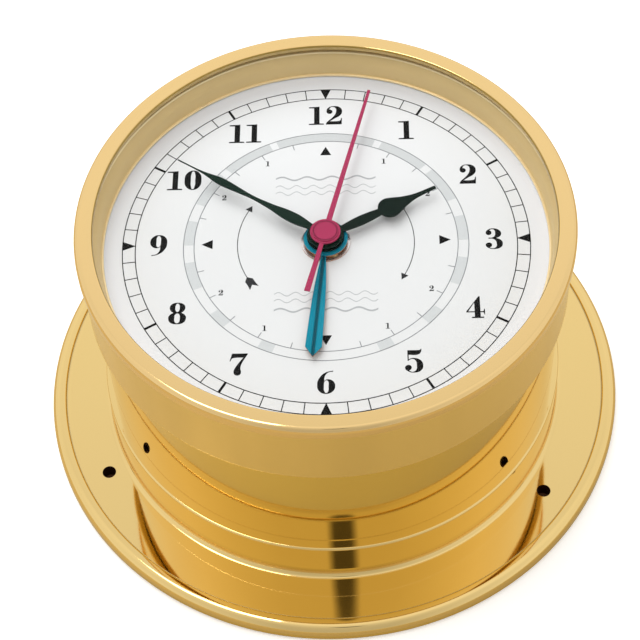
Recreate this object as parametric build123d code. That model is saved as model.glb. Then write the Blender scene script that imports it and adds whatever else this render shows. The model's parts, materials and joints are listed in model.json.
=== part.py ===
from build123d import *
import os
from math import cos, radians, sin

# A tide clock in a polished brass case, lying on its back. Millimetres and degrees.
# The origin is the centre of the flange's underside, the face that goes against the wall.
# +Z points out of the dial, +Y to twelve o'clock and +X to three o'clock.
# The case lifts out of the flange, the bezel lifts off the case, and a quartz movement
# hangs from the dial by its threaded bush. It turns four hands on nested pipes.

# Clearances
lift_gap = 0.3           # between round faces of pieces that lift apart
press_gap = 0.05         # between pieces that are pressed or screwed together
running_gap = 0.05       # between a shaft and the hole it turns in
grip_gap = 0.1           # between the rubber ring and the case it grips
overrun = 1.0            # how far a cutting shape runs past the face it cuts

# Case drum: a tube whose lower end is narrower and goes into the collar.
# Its radius drives those of the flange, the bezel, the glass, the dial and the hands.
drum_radius = 69.0
drum_wall = 1.6
drum_step = 2.3
drum_length = 61.3       # from the collar to the drum's front end

# Wall flange: a flat disc with a collar, and three screw holes
collar_overhang = 1.8    # past the drum
flange_reach = 19.2      # past the collar
flange_thickness = 5.0
flange_rim_width = 4.4    # the raised rim
flange_rim_rise = 0.6
flange_rim_round = 2.9
flange_rim_inner_round = 0.5
flange_back_round = 1.2
collar_height = 15.3
collar_foot_round = 1.8
collar_lip_round = 0.7
floor_thickness = 2.0    # the ledge inside the collar
floor_width = 3.0
spigot_floor_gap = 1.3   # between the ledge and the drum's lower end
screw_count = 3
screw_place_share = 0.354    # of the way from the collar to the flange's edge
screw_hole_radius = 2.05
first_screw_angle = 86.0     # counted from three o'clock

# Rubber ring in the collar
grip_height = 4.0
grip_depth = 2.0
grip_above_floor = 7.0

# Bezel: a rolled front ring with a skirt round the drum
bezel_overhang = 2.8     # past the drum
bezel_ring_width = 5.5
bezel_cap_height = 5.8   # in front of the drum's end
bezel_skirt_length = 19.7
bezel_bead_height = 3.6
bezel_bead_step = 0.8
bezel_bead_round = 1.8
bezel_inner_round = 0.6
bezel_skirt_round = 0.5
bezel_lip_thickness = 1.6
bezel_seat_width = 0.7   # the shoulder that rests on the drum's end

# Glass, the gasket in front of it, and the bright ring between the glass and the dial
glass_thickness = 1.8
glass_edge_chamfer = 0.3
gasket_thickness = 0.5
gasket_width = 1.4
reflector_overlap = 1.9  # how far the ring shows inside the bezel's opening
reflector_gap = 0.3      # over the dial, and over the drum's end
reflector_inset = 0.5    # inside the drum's bore
reflector_wall = 1.0     # where the ring's flared mouth begins
reflector_mouth_rim = 0.7
reflector_foot_lip = 0.5
reflector_foot_height = 0.6

# Dial and the ring that it lies on
dial_depth = 6.0         # from the drum's front end down to the dial's face
dial_thickness = 1.0
dial_margin = 0.8        # between the dial's edge and the drum
seat_height = 3.0
seat_width = 7.4
foot_count = 3
foot_radius = 1.0
foot_below_seat = 3.0
first_foot_angle = 30.0  # counted from three o'clock
foot_nut_across = 4.0
foot_nut_height = 1.6

# Movement case: a plastic tray, open to the back, with a cover over its wheels
movement_wall = 1.5
movement_corner_round = 2.0
cover_thickness = 1.5
partition_wall = 1.0     # between the wheels and the battery
rubber_washer_thickness = 1.0
rubber_washer_radius = 8.0
post_radius = 1.9        # for the cover's two screws
post_inset = 1.7         # from the wall, which the post runs into
post_gap = 1.4           # between a post and the plates
post_height_place = 3.0  # towards twelve from the hands' axis
cover_screw_radius = 0.8
cover_screw_length = 7.0
cover_head_radius = 1.8
cover_head_height = 0.8
cover_slot_width = 0.4
cover_slot_depth = 0.4

# Battery, one AA cell, and its contacts
battery_radius = 7.25
battery_body_length = 49.5
battery_nub_radius = 2.75
battery_nub_length = 1.0
battery_side_gap = 0.7
battery_depth_gap = 0.25 # to the tray's ceiling, and to its open back
battery_end_gap = 0.3
contact_thickness = 0.4
contact_width = 9.0
contact_end_gap = 1.0
contact_foot = 1.55      # from the contact to the wall behind it

# Threaded bush through the dial, with its washer and nut
bush_radius = 4.5
bush_flange_radius = 6.0
bush_flange_thickness = 0.6
washer_radius = 7.1
washer_thickness = 0.4
nut_across = 10.6
nut_thickness = 0.7
bush_above_nut = 0.1
dial_hole_gap = 0.15

# Nested arbor and pipes
second_arbor_radius = 0.6
pipe_gap = 0.06          # running fit between one pipe and the next
minute_pipe_wall = 0.64
hour_pipe_wall = 0.64
tide_pipe_wall = 0.74

# Hands, from the dial outwards
hand_thickness = 0.4
tide_hand_thickness = 0.45
tide_hand_gap = 0.25     # over the bush
hour_hand_gap = 0.6      # over the hand before
minute_hand_gap = 0.7
second_hand_gap = 0.75
hand_pipe_stand = 0.1    # how far each pipe stands out of its hand
tide_hub_radius = 6.4
hour_hub_radius = 5.4
minute_hub_radius = 5.2
second_hub_radius = 4.4
second_disc_thickness = 0.5
second_cap_radius = 3.8
second_cap_thickness = 0.3
tide_reach_share = 0.62      # lengths of the hands, as shares of the dial's radius
hour_reach_share = 0.551
minute_reach_share = 0.79
second_reach_share = 0.835
second_tail_reach_share = 0.324
tide_hand_width = 4.7
hour_hand_width = 7.0
minute_hand_width = 3.5
second_hand_width = 1.6
tide_hand_angle = 185.2  # clockwise from twelve
hour_hand_angle = 61.6
minute_hand_angle = 303.6
second_hand_angle = 13.9

# Outlines of the hands: shares of the length, and shares of the greatest width
tide_length_shares = (0.0, 0.17, 0.27, 0.41, 0.53, 0.73, 0.92)
tide_width_shares = (0.30, 0.30, 0.50, 0.70, 0.81, 0.92, 1.0)
hour_neck_length_shares = (0.0, 0.17, 0.25, 0.32, 0.40, 0.45, 0.49)
hour_neck_width_shares = (0.30, 0.34, 0.43, 0.465, 0.43, 0.385, 0.33)
hour_bulb_length_shares = (
    0.49, 0.50, 0.52, 0.545, 0.58, 0.605, 0.635, 0.67, 0.70, 0.74, 0.78, 0.83, 0.90
)
hour_bulb_width_shares = (
    0.33, 0.54, 0.78, 0.93, 1.0, 0.957, 0.843, 0.686, 0.543, 0.414, 0.30, 0.214, 0.171
)
minute_length_shares = (
    0.0, 0.13, 0.19, 0.24, 0.29, 0.34, 0.39, 0.47, 0.57, 0.62, 0.68, 0.72, 0.76, 0.80, 0.85
)
minute_width_shares = (
    0.6, 0.74, 1.0, 1.0, 0.87, 0.62, 0.47, 0.31, 0.47, 0.6, 0.72, 0.68, 0.5, 0.28, 0.13
)
hour_tip_share = 0.13
minute_tip_share = 0.08
second_tip_share = 0.55
second_neck_share = 0.75
second_tail_share = 1.05

# Wheels: teeth and modules of each train
going_module = 0.3
third_module = 0.25
rotor_teeth = 8
intermediate_teeth = 40
intermediate_pinion_teeth = 8
seconds_teeth = 48
seconds_pinion_teeth = 8
third_teeth = 60
third_pinion_teeth = 8
clutch_teeth = 64
cannon_module = 0.5
cannon_teeth = 12
motion_teeth = 36
motion_pinion_teeth = 10
hour_teeth = 40
knob_teeth = 12
tide_distance = 12.5     # from the hands' axis to the tide idler
hour_tide_teeth = 57
tide_teeth = 59
idler_teeth = 20
addendum_share = 0.75    # of the module
dedendum_share = 1.2
tooth_root_share = 0.30  # half a tooth, as a share of the tooth spacing
tooth_tip_share = 0.12

# Directions of the wheels' axes, from the axis named first, counted from three o'clock
intermediate_direction = 60.0   # from the hands
rotor_direction = 90.0          # from the intermediate wheel
third_direction = 170.0         # from the hands
motion_direction = -10.0        # from the hands
knob_direction = 75.0           # from the motion wheel
idler_direction = 150.0         # from the hands

# Thicknesses and gaps along the wheels' axes
wheel_thickness = 0.7
pinion_margin = 0.15     # a pinion stands this far past its wheel on both sides
level_gap = 0.4          # between wheels that pass over each other
bridge_thickness = 0.7
bridge_gap = 0.35        # between a plate and the wheels next to it
bridge_top = 17.6        # towards twelve from the hands' axis
bridge_bottom = 12.0
bridge_side_gap = 0.6    # between a plate's edge and the wall by the battery
bridge_back_gap = 2.4    # between the rear plate and the cover, room for the board
pillar_radius = 1.5
pillar_gap = 0.6         # between a pillar and the stator's end
pillar_inset = 2.0       # from the plate's edges
arbor_radius = 0.4
pivot_radius = 0.3
pivot_shoulder = 0.1
hub_radius = 2.2
magnet_radius = 2.0
magnet_height = 1.6

# Coil, core and stator
stator_thickness = 0.8
stator_half_width = 14.2
stator_bar = 7.6
stator_leg_width = 4.0
stator_leg_length = 8.9
stator_hole_gap = 0.5
core_thickness = 1.0
core_width = 3.0
bobbin_half_length = 9.4
bobbin_tube_radius = 2.1
bobbin_flange_radius = 3.6
bobbin_flange_thickness = 0.8
bobbin_wall_gap = 0.75
winding_radius = 3.3

# Circuit board
board_thickness = 0.8
board_side_gap = 1.9     # from the chamber's walls
board_edge_gap = 0.7
board_width = 16.4
chip_length = 5.0
chip_width = 4.0
chip_height = 1.0
chip_side = -6.0
chip_rise = 23.5
crystal_radius = 1.0
crystal_length = 6.0
crystal_inset = 7.6      # from the board's end to the can's middle
crystal_rise = 24.0

# Time-setting knob at the back
knob_radius = 6.0
knob_height = 4.0
knob_stand = 1.0         # behind the cover
knob_arbor_radius = 0.8
knob_flutes = 16
knob_flute_radius = 0.5
knob_arbor_above = 0.2

# Heights worked out from the values above
collar_top = flange_thickness + collar_height
drum_top = collar_top + drum_length
bezel_top = drum_top + bezel_cap_height
lip_low = bezel_top - bezel_lip_thickness
glass_top = lip_low - gasket_thickness
glass_low = glass_top - glass_thickness
dial_top = drum_top - dial_depth
dial_low = dial_top - dial_thickness
seat_low = dial_low - seat_height
movement_top = dial_low - rubber_washer_thickness
ceiling = movement_top - movement_wall
spigot_low = floor_thickness + spigot_floor_gap
washer_top = dial_top + washer_thickness
nut_top = washer_top + nut_thickness
bush_top = nut_top + bush_above_nut

tide_hand_low = bush_top + tide_hand_gap
tide_hand_top = tide_hand_low + tide_hand_thickness
hour_hand_low = tide_hand_top + hour_hand_gap
hour_hand_top = hour_hand_low + hand_thickness
minute_hand_low = hour_hand_top + minute_hand_gap
minute_hand_top = minute_hand_low + hand_thickness
second_hand_low = minute_hand_top + second_hand_gap
second_disc_top = second_hand_low + second_disc_thickness
second_cap_top = second_disc_top + second_cap_thickness

# Radii worked out from the values above
collar_radius = drum_radius + collar_overhang
flange_radius = collar_radius + flange_reach
screw_circle_radius = collar_radius + screw_place_share * flange_reach
spigot_radius = drum_radius - drum_step
drum_inner = drum_radius - drum_wall
spigot_inner = spigot_radius - drum_wall
collar_bore = spigot_radius + lift_gap
floor_radius = collar_bore - floor_width
bezel_radius = drum_radius + bezel_overhang
bezel_opening_radius = bezel_radius - bezel_ring_width
pocket_radius = drum_radius - bezel_seat_width
reflector_bore = bezel_opening_radius - reflector_overlap
reflector_radius = drum_inner - reflector_inset
dial_radius = drum_inner - dial_margin
seat_bore = drum_inner - seat_width
foot_circle_radius = (seat_bore + drum_inner) / 2
skirt_bore = drum_radius + lift_gap
skirt_radius = bezel_radius - bezel_bead_step
grip_outer = collar_bore + grip_depth
minute_pipe_bore = second_arbor_radius + pipe_gap
minute_pipe_radius = minute_pipe_bore + minute_pipe_wall
hour_pipe_bore = minute_pipe_radius + pipe_gap
hour_pipe_radius = hour_pipe_bore + hour_pipe_wall
tide_pipe_bore = hour_pipe_radius + pipe_gap
tide_pipe_radius = tide_pipe_bore + tide_pipe_wall
bush_bore = tide_pipe_radius + pipe_gap

# Lengths of the hands
tide_hand_length = tide_reach_share * dial_radius
hour_hand_length = hour_reach_share * dial_radius
minute_hand_length = minute_reach_share * dial_radius
second_hand_length = second_reach_share * dial_radius
second_tail_length = second_tail_reach_share * dial_radius

# Wheel levels, the lower face of each, from the ceiling of the tray to the back
tide_level = ceiling - bush_flange_thickness - bridge_gap - wheel_thickness
hour_tide_level = tide_level - level_gap - wheel_thickness
hour_level = hour_tide_level - level_gap - pinion_margin - wheel_thickness
motion_level = hour_level - level_gap - pinion_margin - wheel_thickness
front_bridge_low = motion_level - pinion_margin - bridge_gap - bridge_thickness
front_bridge_top = front_bridge_low + bridge_thickness
clutch_level = front_bridge_low - bridge_gap - pinion_margin - wheel_thickness
third_level = clutch_level - level_gap - pinion_margin - wheel_thickness
seconds_level = third_level - level_gap - pinion_margin - wheel_thickness
intermediate_level = seconds_level - level_gap - pinion_margin - wheel_thickness
rear_bridge_top = intermediate_level - pinion_margin - bridge_gap
rear_bridge_low = rear_bridge_top - bridge_thickness

# The movement's depth, which has to hold the wheels and the battery
train_depth = ceiling - rear_bridge_low + bridge_back_gap
battery_depth = 2 * (battery_radius + battery_depth_gap)
rim_low = ceiling - max(train_depth, battery_depth)
movement_low = rim_low - cover_thickness


def place(start, direction, distance):
    """A point at a distance from start, in a direction counted from three o'clock."""
    turn = radians(direction)
    return (start[0] + distance * cos(turn), start[1] + distance * sin(turn))


def centre_distance(module, first, second):
    """How far apart two meshing wheels stand."""
    return module * (first + second) / 2


# Places of the axes, and the modules that follow from them
hands_axis = (0.0, 0.0)
intermediate_distance = centre_distance(going_module, intermediate_pinion_teeth, seconds_teeth)
rotor_distance = centre_distance(going_module, rotor_teeth, intermediate_teeth)
third_distance = centre_distance(third_module, seconds_pinion_teeth, third_teeth)
motion_distance = centre_distance(cannon_module, cannon_teeth, motion_teeth)
knob_distance = centre_distance(cannon_module, motion_teeth, knob_teeth)
intermediate_axis = place(hands_axis, intermediate_direction, intermediate_distance)
rotor_axis = place(intermediate_axis, rotor_direction, rotor_distance)
third_axis = place(hands_axis, third_direction, third_distance)
motion_axis = place(hands_axis, motion_direction, motion_distance)
knob_axis = place(motion_axis, knob_direction, knob_distance)
idler_axis = place(hands_axis, idler_direction, tide_distance)
clutch_module = 2 * third_distance / (third_pinion_teeth + clutch_teeth)
hour_module = 2 * motion_distance / (motion_pinion_teeth + hour_teeth)
hour_tide_module = 2 * tide_distance / (hour_tide_teeth + idler_teeth)
tide_module = 2 * tide_distance / (tide_teeth + idler_teeth)

# Places in the movement case
battery_half = (battery_body_length + battery_nub_length) / 2
stator_end = rotor_axis[0] + stator_half_width
motion_edge = motion_axis[0] + motion_teeth * cannon_module / 2
pillar_side = max(stator_end + pillar_gap + pillar_radius, motion_edge)
bridge_half_width = pillar_side + pillar_inset
train_side = bridge_half_width + post_gap + post_radius + post_inset
battery_side = battery_half + battery_end_gap + contact_thickness + contact_foot
chamber_side = max(train_side, battery_side)
movement_half = chamber_side + movement_wall
battery_room = battery_radius + battery_side_gap
partition_high = -bridge_bottom - bridge_side_gap
partition_low = partition_high - partition_wall
battery_rise = partition_low - battery_room
battery_height = (ceiling + rim_low) / 2
movement_below = movement_wall + battery_room - battery_rise
coil_rise = rotor_axis[1] + stator_bar / 2 + stator_leg_length - stator_leg_width / 2
chamber_high = coil_rise + bobbin_flange_radius + bobbin_wall_gap
movement_above = chamber_high + movement_wall
board_side = chamber_side - board_side_gap
board_high_edge = chamber_high - board_edge_gap
board_low_edge = board_high_edge - board_width
crystal_side = crystal_inset - board_side
post_side = chamber_side - post_inset
post_places = ((-post_side, post_height_place), (post_side, post_height_place))
pillar_top = bridge_top - pillar_inset
pillar_bottom = bridge_bottom - pillar_inset
pillar_places = (
    (-pillar_side, -pillar_bottom),
    (pillar_side, -pillar_bottom),
    (-pillar_side, pillar_top),
    (pillar_side, pillar_top),
)
foot_angles = [first_foot_angle + 360 * i / foot_count for i in range(foot_count)]
foot_places = [place(hands_axis, angle, foot_circle_radius) for angle in foot_angles]
stator_low = third_level
stator_top = stator_low + stator_thickness
coil_height = stator_top + core_thickness / 2
board_top = rim_low + board_thickness


def rod(radius, low, high, at=(0.0, 0.0)):
    """An upright round bar between two heights."""
    return Pos(at[0], at[1], low) * extrude(Circle(radius), amount=high - low)


def tube(bore, radius, low, high, at=(0.0, 0.0)):
    """An upright ring or pipe between two heights."""
    return Pos(at[0], at[1], low) * extrude(Circle(radius) - Circle(bore), amount=high - low)


def block(left, right, near, far, low, high):
    """A box given by its six faces."""
    outline = Rectangle(right - left, far - near)
    return Pos((left + right) / 2, (near + far) / 2, low) * extrude(outline, amount=high - low)


def turned(points, rounds=()):
    """A solid turned about the axis from (radius, height) points, with some corners rounded."""
    outline = make_face(Polyline(*points, close=True))
    for index, radius in rounds:
        corner = outline.vertices().sort_by_distance((*points[index], 0.0))[0]
        outline = fillet(corner, radius)
    return revolve(Plane.XZ * outline, Axis.Z)


def gear(teeth, module, low, phase=0.0, margin=0.0, at=(0.0, 0.0)):
    """A spur wheel, or a pinion with a margin past the wheel that it meshes with."""
    pitch = teeth * module / 2
    step = 360 / teeth
    corners = (
        (pitch - dedendum_share * module, -tooth_root_share),
        (pitch + addendum_share * module, -tooth_tip_share),
        (pitch + addendum_share * module, tooth_tip_share),
        (pitch - dedendum_share * module, tooth_root_share),
    )
    points = []
    for tooth in range(teeth):
        for radius, share in corners:
            points.append(place(hands_axis, phase + (tooth + share) * step, radius))
    outline = make_face(Polyline(*points, close=True))
    return Pos(at[0], at[1], low - margin) * extrude(outline, amount=wheel_thickness + 2 * margin)


def mesh_phase(first_phase, first_teeth, direction, second_teeth):
    """The angle of a tooth of the second wheel that lets it mesh with the first.

    The direction is the one in which the second wheel's axis lies from the first's."""
    passed = (direction - first_phase) * first_teeth / 360
    return direction + 180 - (0.5 - passed) * 360 / second_teeth


# The angle of one tooth of each wheel, so that all are in mesh at rest
seconds_phase = 0.0
intermediate_pinion_phase = mesh_phase(
    seconds_phase, seconds_teeth, intermediate_direction, intermediate_pinion_teeth
)
intermediate_phase = 0.0
rotor_phase = mesh_phase(intermediate_phase, intermediate_teeth, rotor_direction, rotor_teeth)
third_phase = mesh_phase(0.0, seconds_pinion_teeth, third_direction, third_teeth)
clutch_phase = mesh_phase(0.0, third_pinion_teeth, third_direction + 180, clutch_teeth)
motion_phase = mesh_phase(0.0, cannon_teeth, motion_direction, motion_teeth)
knob_phase = mesh_phase(motion_phase, motion_teeth, knob_direction, knob_teeth)
hour_phase = mesh_phase(0.0, motion_pinion_teeth, motion_direction + 180, hour_teeth)
idler_phase = mesh_phase(hour_phase, hour_tide_teeth, idler_direction, idler_teeth)
tide_phase = mesh_phase(idler_phase, idler_teeth, idler_direction + 180, tide_teeth)


def mounting_flange():
    """The wall flange, with its collar, the groove for the rubber ring and the screw holes."""
    groove_low = floor_thickness + grip_above_floor
    groove_high = groove_low + grip_height
    rim_top = flange_thickness + flange_rim_rise
    points = (
        (floor_radius, 0.0),
        (flange_radius, 0.0),
        (flange_radius, rim_top),
        (flange_radius - flange_rim_width, rim_top),
        (flange_radius - flange_rim_width, flange_thickness),
        (collar_radius, flange_thickness),
        (collar_radius, collar_top),
        (collar_bore, collar_top),
        (collar_bore, groove_high),
        (grip_outer, groove_high),
        (grip_outer, groove_low),
        (collar_bore, groove_low),
        (collar_bore, floor_thickness),
        (floor_radius, floor_thickness),
    )
    rounds = (
        (1, flange_back_round),
        (2, flange_rim_round),
        (3, flange_rim_inner_round),
        (5, collar_foot_round),
        (6, collar_lip_round),
    )
    flange = turned(points, rounds)
    for i in range(screw_count):
        angle = first_screw_angle + 360 * i / screw_count
        hole = place(hands_axis, angle, screw_circle_radius)
        flange -= rod(screw_hole_radius, -overrun, flange_thickness + overrun, hole)
    return flange


def grip_ring():
    """The rubber ring in the collar's groove, which holds the case by friction."""
    low = floor_thickness + grip_above_floor + press_gap
    high = low + grip_height - 2 * press_gap
    return tube(spigot_radius + grip_gap, grip_outer - press_gap, low, high)


def case_drum():
    """The drum: a wide tube that rests on the collar, and a narrower end inside it."""
    points = (
        (spigot_inner, spigot_low),
        (spigot_radius, spigot_low),
        (spigot_radius, collar_top),
        (drum_radius, collar_top),
        (drum_radius, drum_top),
        (drum_inner, drum_top),
        (drum_inner, collar_top + drum_wall),
        (spigot_inner, collar_top + drum_wall),
    )
    return turned(points)


def bezel_ring():
    """The bezel: a flat front ring with round edges, a lip over the glass and a skirt."""
    bead_low = bezel_top - bezel_bead_height
    skirt_low = drum_top - bezel_skirt_length
    points = (
        (bezel_opening_radius, lip_low),
        (bezel_opening_radius, bezel_top),
        (bezel_radius, bezel_top),
        (bezel_radius, bead_low),
        (skirt_radius, bead_low),
        (skirt_radius, skirt_low),
        (skirt_bore, skirt_low),
        (skirt_bore, drum_top),
        (pocket_radius, drum_top),
        (pocket_radius, lip_low),
    )
    rounds = ((1, bezel_inner_round), (2, bezel_bead_round), (5, bezel_skirt_round))
    return turned(points, rounds)


def glass():
    """The flat glass, its edges broken, under the bezel's lip."""
    edge = pocket_radius - press_gap
    points = (
        (0.0, glass_low),
        (edge - glass_edge_chamfer, glass_low),
        (edge, glass_low + glass_edge_chamfer),
        (edge, glass_top - glass_edge_chamfer),
        (edge - glass_edge_chamfer, glass_top),
        (0.0, glass_top),
    )
    return turned(points)


def glass_gasket():
    """The rubber gasket between the bezel's lip and the glass."""
    edge = pocket_radius - press_gap
    return tube(edge - gasket_width, edge, glass_top, lip_low)


def reflector_ring():
    """The bright ring behind the glass: pressed in by its flange, it narrows down to the dial."""
    edge = pocket_radius - press_gap
    low = dial_top + reflector_gap
    flange_low = drum_top + reflector_gap
    foot_top = low + reflector_foot_height
    points = (
        (reflector_bore, low),
        (reflector_radius, low),
        (reflector_radius, flange_low),
        (edge, flange_low),
        (edge, glass_low),
        (edge - reflector_mouth_rim, glass_low),
        (reflector_radius - reflector_wall, flange_low),
        (reflector_bore + reflector_foot_lip, foot_top),
        (reflector_bore, foot_top),
    )
    return turned(points)


def dial_plate():
    """The round dial, with a hole for the movement's bush."""
    return tube(bush_radius + dial_hole_gap, dial_radius, dial_low, dial_top)


def dial_seat_ring():
    """The ring pressed into the drum that the dial lies on, drilled for the dial's feet."""
    ring = tube(seat_bore, drum_inner - press_gap, seat_low, dial_low)
    for foot in foot_places:
        ring -= rod(foot_radius + press_gap, seat_low - overrun, dial_low + overrun, foot)
    return ring


def dial_feet():
    """The studs soldered to the back of the dial."""
    feet = [rod(foot_radius, seat_low - foot_below_seat, dial_low, foot) for foot in foot_places]
    return Compound(children=feet)


def dial_foot_nuts():
    """The nuts that hold the dial's feet to the ring."""
    nuts = []
    for foot in foot_places:
        outline = RegularPolygon(foot_nut_across / 2, 6, major_radius=False)
        outline -= Circle(foot_radius + press_gap)
        nut = extrude(outline, amount=foot_nut_height)
        nuts.append(Pos(*foot, seat_low - foot_nut_height) * nut)
    return Compound(children=nuts)


def movement_tray():
    """The movement's front case: a chamber for the wheels and a bay for the battery."""
    tray = block(
        -movement_half, movement_half, -movement_below, movement_above, rim_low, movement_top
    )
    tray = fillet(tray.edges().filter_by(Axis.Z), movement_corner_round)
    bay_low = battery_rise - battery_room
    open_low = rim_low - overrun
    tray -= block(-chamber_side, chamber_side, partition_high, chamber_high, open_low, ceiling)
    tray -= block(-chamber_side, chamber_side, bay_low, partition_low, open_low, ceiling)
    for post in post_places:
        tray += rod(post_radius, rim_low, ceiling, post)
        tray -= rod(cover_screw_radius + press_gap, open_low, rim_low + cover_screw_length, post)
    tray -= rod(bush_radius + press_gap, ceiling - overrun, movement_top + overrun)
    pivot_top = ceiling + bridge_thickness + running_gap
    for axis in (motion_axis, idler_axis):
        tray -= rod(pivot_radius + running_gap, ceiling - overrun, pivot_top, axis)
    return tray


def movement_cover():
    """The cover over the wheels, with holes for its screws and the knob's arbor."""
    low = movement_low - overrun
    high = rim_low + overrun
    cover = block(
        -movement_half, movement_half, partition_low, movement_above, movement_low, rim_low
    )
    for post in post_places:
        cover -= rod(cover_screw_radius + press_gap, low, high, post)
    return cover - rod(knob_arbor_radius + running_gap, low, high, knob_axis)


def cover_screws():
    """The two slotted screws that hold the cover."""
    screws = []
    head_low = movement_low - cover_head_height
    for post in post_places:
        screw = rod(cover_head_radius, head_low, movement_low, post)
        screw += rod(cover_screw_radius, movement_low, rim_low + cover_screw_length - overrun, post)
        slot = block(
            post[0] - cover_head_radius,
            post[0] + cover_head_radius,
            post[1] - cover_slot_width / 2,
            post[1] + cover_slot_width / 2,
            head_low - overrun,
            head_low + cover_slot_depth,
        )
        screws.append(screw - slot)
    return Compound(children=screws)


def bridge(low, high, pillar_high, holes):
    """A plate that carries the arbors, on four pillars, with its (axis, radius) holes."""
    plate = block(-bridge_half_width, bridge_half_width, -bridge_bottom, bridge_top, low, high)
    for pillar in pillar_places:
        plate += rod(pillar_radius, high, pillar_high, pillar)
    for axis, radius in holes:
        plate -= rod(radius, low - overrun, high + overrun, axis)
    return plate


def front_bridge():
    """The plate between the going train and the motion work."""
    pivot = pivot_radius + running_gap
    holes = (
        (hands_axis, minute_pipe_radius + running_gap),
        (third_axis, pivot),
        (intermediate_axis, pivot),
        (rotor_axis, pivot),
        (motion_axis, pivot),
        (idler_axis, pivot),
        (knob_axis, knob_arbor_radius + running_gap),
    )
    return bridge(front_bridge_low, front_bridge_top, ceiling, holes)


def rear_bridge():
    """The plate behind the going train."""
    pivot = pivot_radius + running_gap
    holes = (
        (hands_axis, pivot),
        (third_axis, pivot),
        (intermediate_axis, pivot),
        (rotor_axis, pivot),
        (knob_axis, knob_arbor_radius + running_gap),
    )
    return bridge(rear_bridge_low, rear_bridge_top, front_bridge_low, holes)


def centre_bush():
    """The threaded bush that carries the movement and the pipes."""
    bush = tube(bush_bore, bush_radius, ceiling - bush_flange_thickness, bush_top)
    return bush + tube(bush_bore, bush_flange_radius, ceiling - bush_flange_thickness, ceiling)


def rubber_washer():
    """The soft washer between the movement and the dial."""
    return tube(bush_radius + press_gap, rubber_washer_radius, movement_top, dial_low)


def centre_washer():
    """The thin washer on the dial."""
    return tube(bush_radius + press_gap, washer_radius, dial_top, washer_top)


def centre_nut():
    """The hexagonal nut that clamps the dial to the movement."""
    outline = RegularPolygon(nut_across / 2, 6, major_radius=False)
    outline -= Circle(bush_radius + press_gap)
    return Pos(0, 0, washer_top) * extrude(outline, amount=nut_thickness)


def circuit_board():
    """The board that lies on the cover behind the coil."""
    return block(-board_side, board_side, board_low_edge, board_high_edge, rim_low, board_top)


def driver_chip():
    """The chip on the board."""
    return block(
        chip_side - chip_length / 2,
        chip_side + chip_length / 2,
        chip_rise - chip_width / 2,
        chip_rise + chip_width / 2,
        board_top,
        board_top + chip_height,
    )


def crystal_can():
    """The quartz crystal's can, lying on the board."""
    can = extrude(Circle(crystal_radius), amount=crystal_length / 2, both=True)
    return Pos(crystal_side, crystal_rise, board_top + crystal_radius) * Rot(0, 90, 0) * can


def lying_ring(bore_cut, radius, start, end):
    """A ring round the coil's core, between two places along X from the rotor's axis."""
    ring = extrude(Circle(radius), amount=end - start)
    return Pos(rotor_axis[0] + start, coil_rise, coil_height) * Rot(0, 90, 0) * ring - bore_cut


def core_slot():
    """The room for the core through the bobbin."""
    return block(
        rotor_axis[0] - bobbin_half_length - overrun,
        rotor_axis[0] + bobbin_half_length + overrun,
        coil_rise - core_width / 2 - press_gap,
        coil_rise + core_width / 2 + press_gap,
        coil_height - core_thickness / 2 - press_gap,
        coil_height + core_thickness / 2 + press_gap,
    )


def coil_bobbin():
    """The bobbin: a tube with a flange at each end, on the core."""
    slot = core_slot()
    half = bobbin_half_length
    flange_inside = half - bobbin_flange_thickness
    bobbin = lying_ring(slot, bobbin_tube_radius, -half, half)
    bobbin += lying_ring(slot, bobbin_flange_radius, -half, -flange_inside)
    return bobbin + lying_ring(slot, bobbin_flange_radius, flange_inside, half)


def coil_winding():
    """The fine wire on the bobbin, as one body."""
    half = bobbin_half_length - bobbin_flange_thickness
    centre = Pos(rotor_axis[0] - half, coil_rise, coil_height) * Rot(0, 90, 0)
    return centre * extrude(Circle(winding_radius) - Circle(bobbin_tube_radius), amount=2 * half)


def coil_core():
    """The flat core, lying on the stator's two legs."""
    return block(
        rotor_axis[0] - stator_half_width,
        rotor_axis[0] + stator_half_width,
        coil_rise - core_width / 2,
        coil_rise + core_width / 2,
        stator_top,
        stator_top + core_thickness,
    )


def stator_plate():
    """The flat stator round the rotor's magnet, with a leg to each end of the core."""
    left = rotor_axis[0] - stator_half_width
    right = rotor_axis[0] + stator_half_width
    bar_low = rotor_axis[1] - stator_bar / 2
    bar_high = rotor_axis[1] + stator_bar / 2
    leg_high = bar_high + stator_leg_length
    plate = block(left, right, bar_low, bar_high, stator_low, stator_top)
    plate += block(left, left + stator_leg_width, bar_high, leg_high, stator_low, stator_top)
    plate += block(right - stator_leg_width, right, bar_high, leg_high, stator_low, stator_top)
    hole = magnet_radius + stator_hole_gap
    return plate - rod(hole, stator_low - overrun, stator_top + overrun, rotor_axis)


def battery_contact(side):
    """A contact plate at one end of the battery, bent over against the tray's ceiling."""
    inner = battery_half + battery_end_gap
    outer = inner + contact_thickness
    low = rim_low + contact_end_gap
    near = battery_rise - contact_width / 2
    far = battery_rise + contact_width / 2
    plate = block(inner, outer, near, far, low, ceiling)
    plate += block(inner, chamber_side, near, far, ceiling - contact_thickness, ceiling)
    return plate if side > 0 else mirror(plate, Plane.YZ)


def battery_cell():
    """The cell, its raised end towards three o'clock."""
    body = extrude(Circle(battery_radius), amount=battery_body_length)
    nub = extrude(Circle(battery_nub_radius), amount=battery_nub_length)
    cell = body + Pos(0, 0, battery_body_length) * nub
    return Pos(-battery_half, battery_rise, battery_height) * Rot(0, 90, 0) * cell


def arbor(axis, low, high):
    """An arbor with a thinner pivot at each end, low and high being its pivots' ends."""
    shaft_low = low + bridge_thickness + pivot_shoulder
    shaft_high = high - bridge_thickness - pivot_shoulder
    return rod(pivot_radius, low, high, axis) + rod(arbor_radius, shaft_low, shaft_high, axis)


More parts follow.
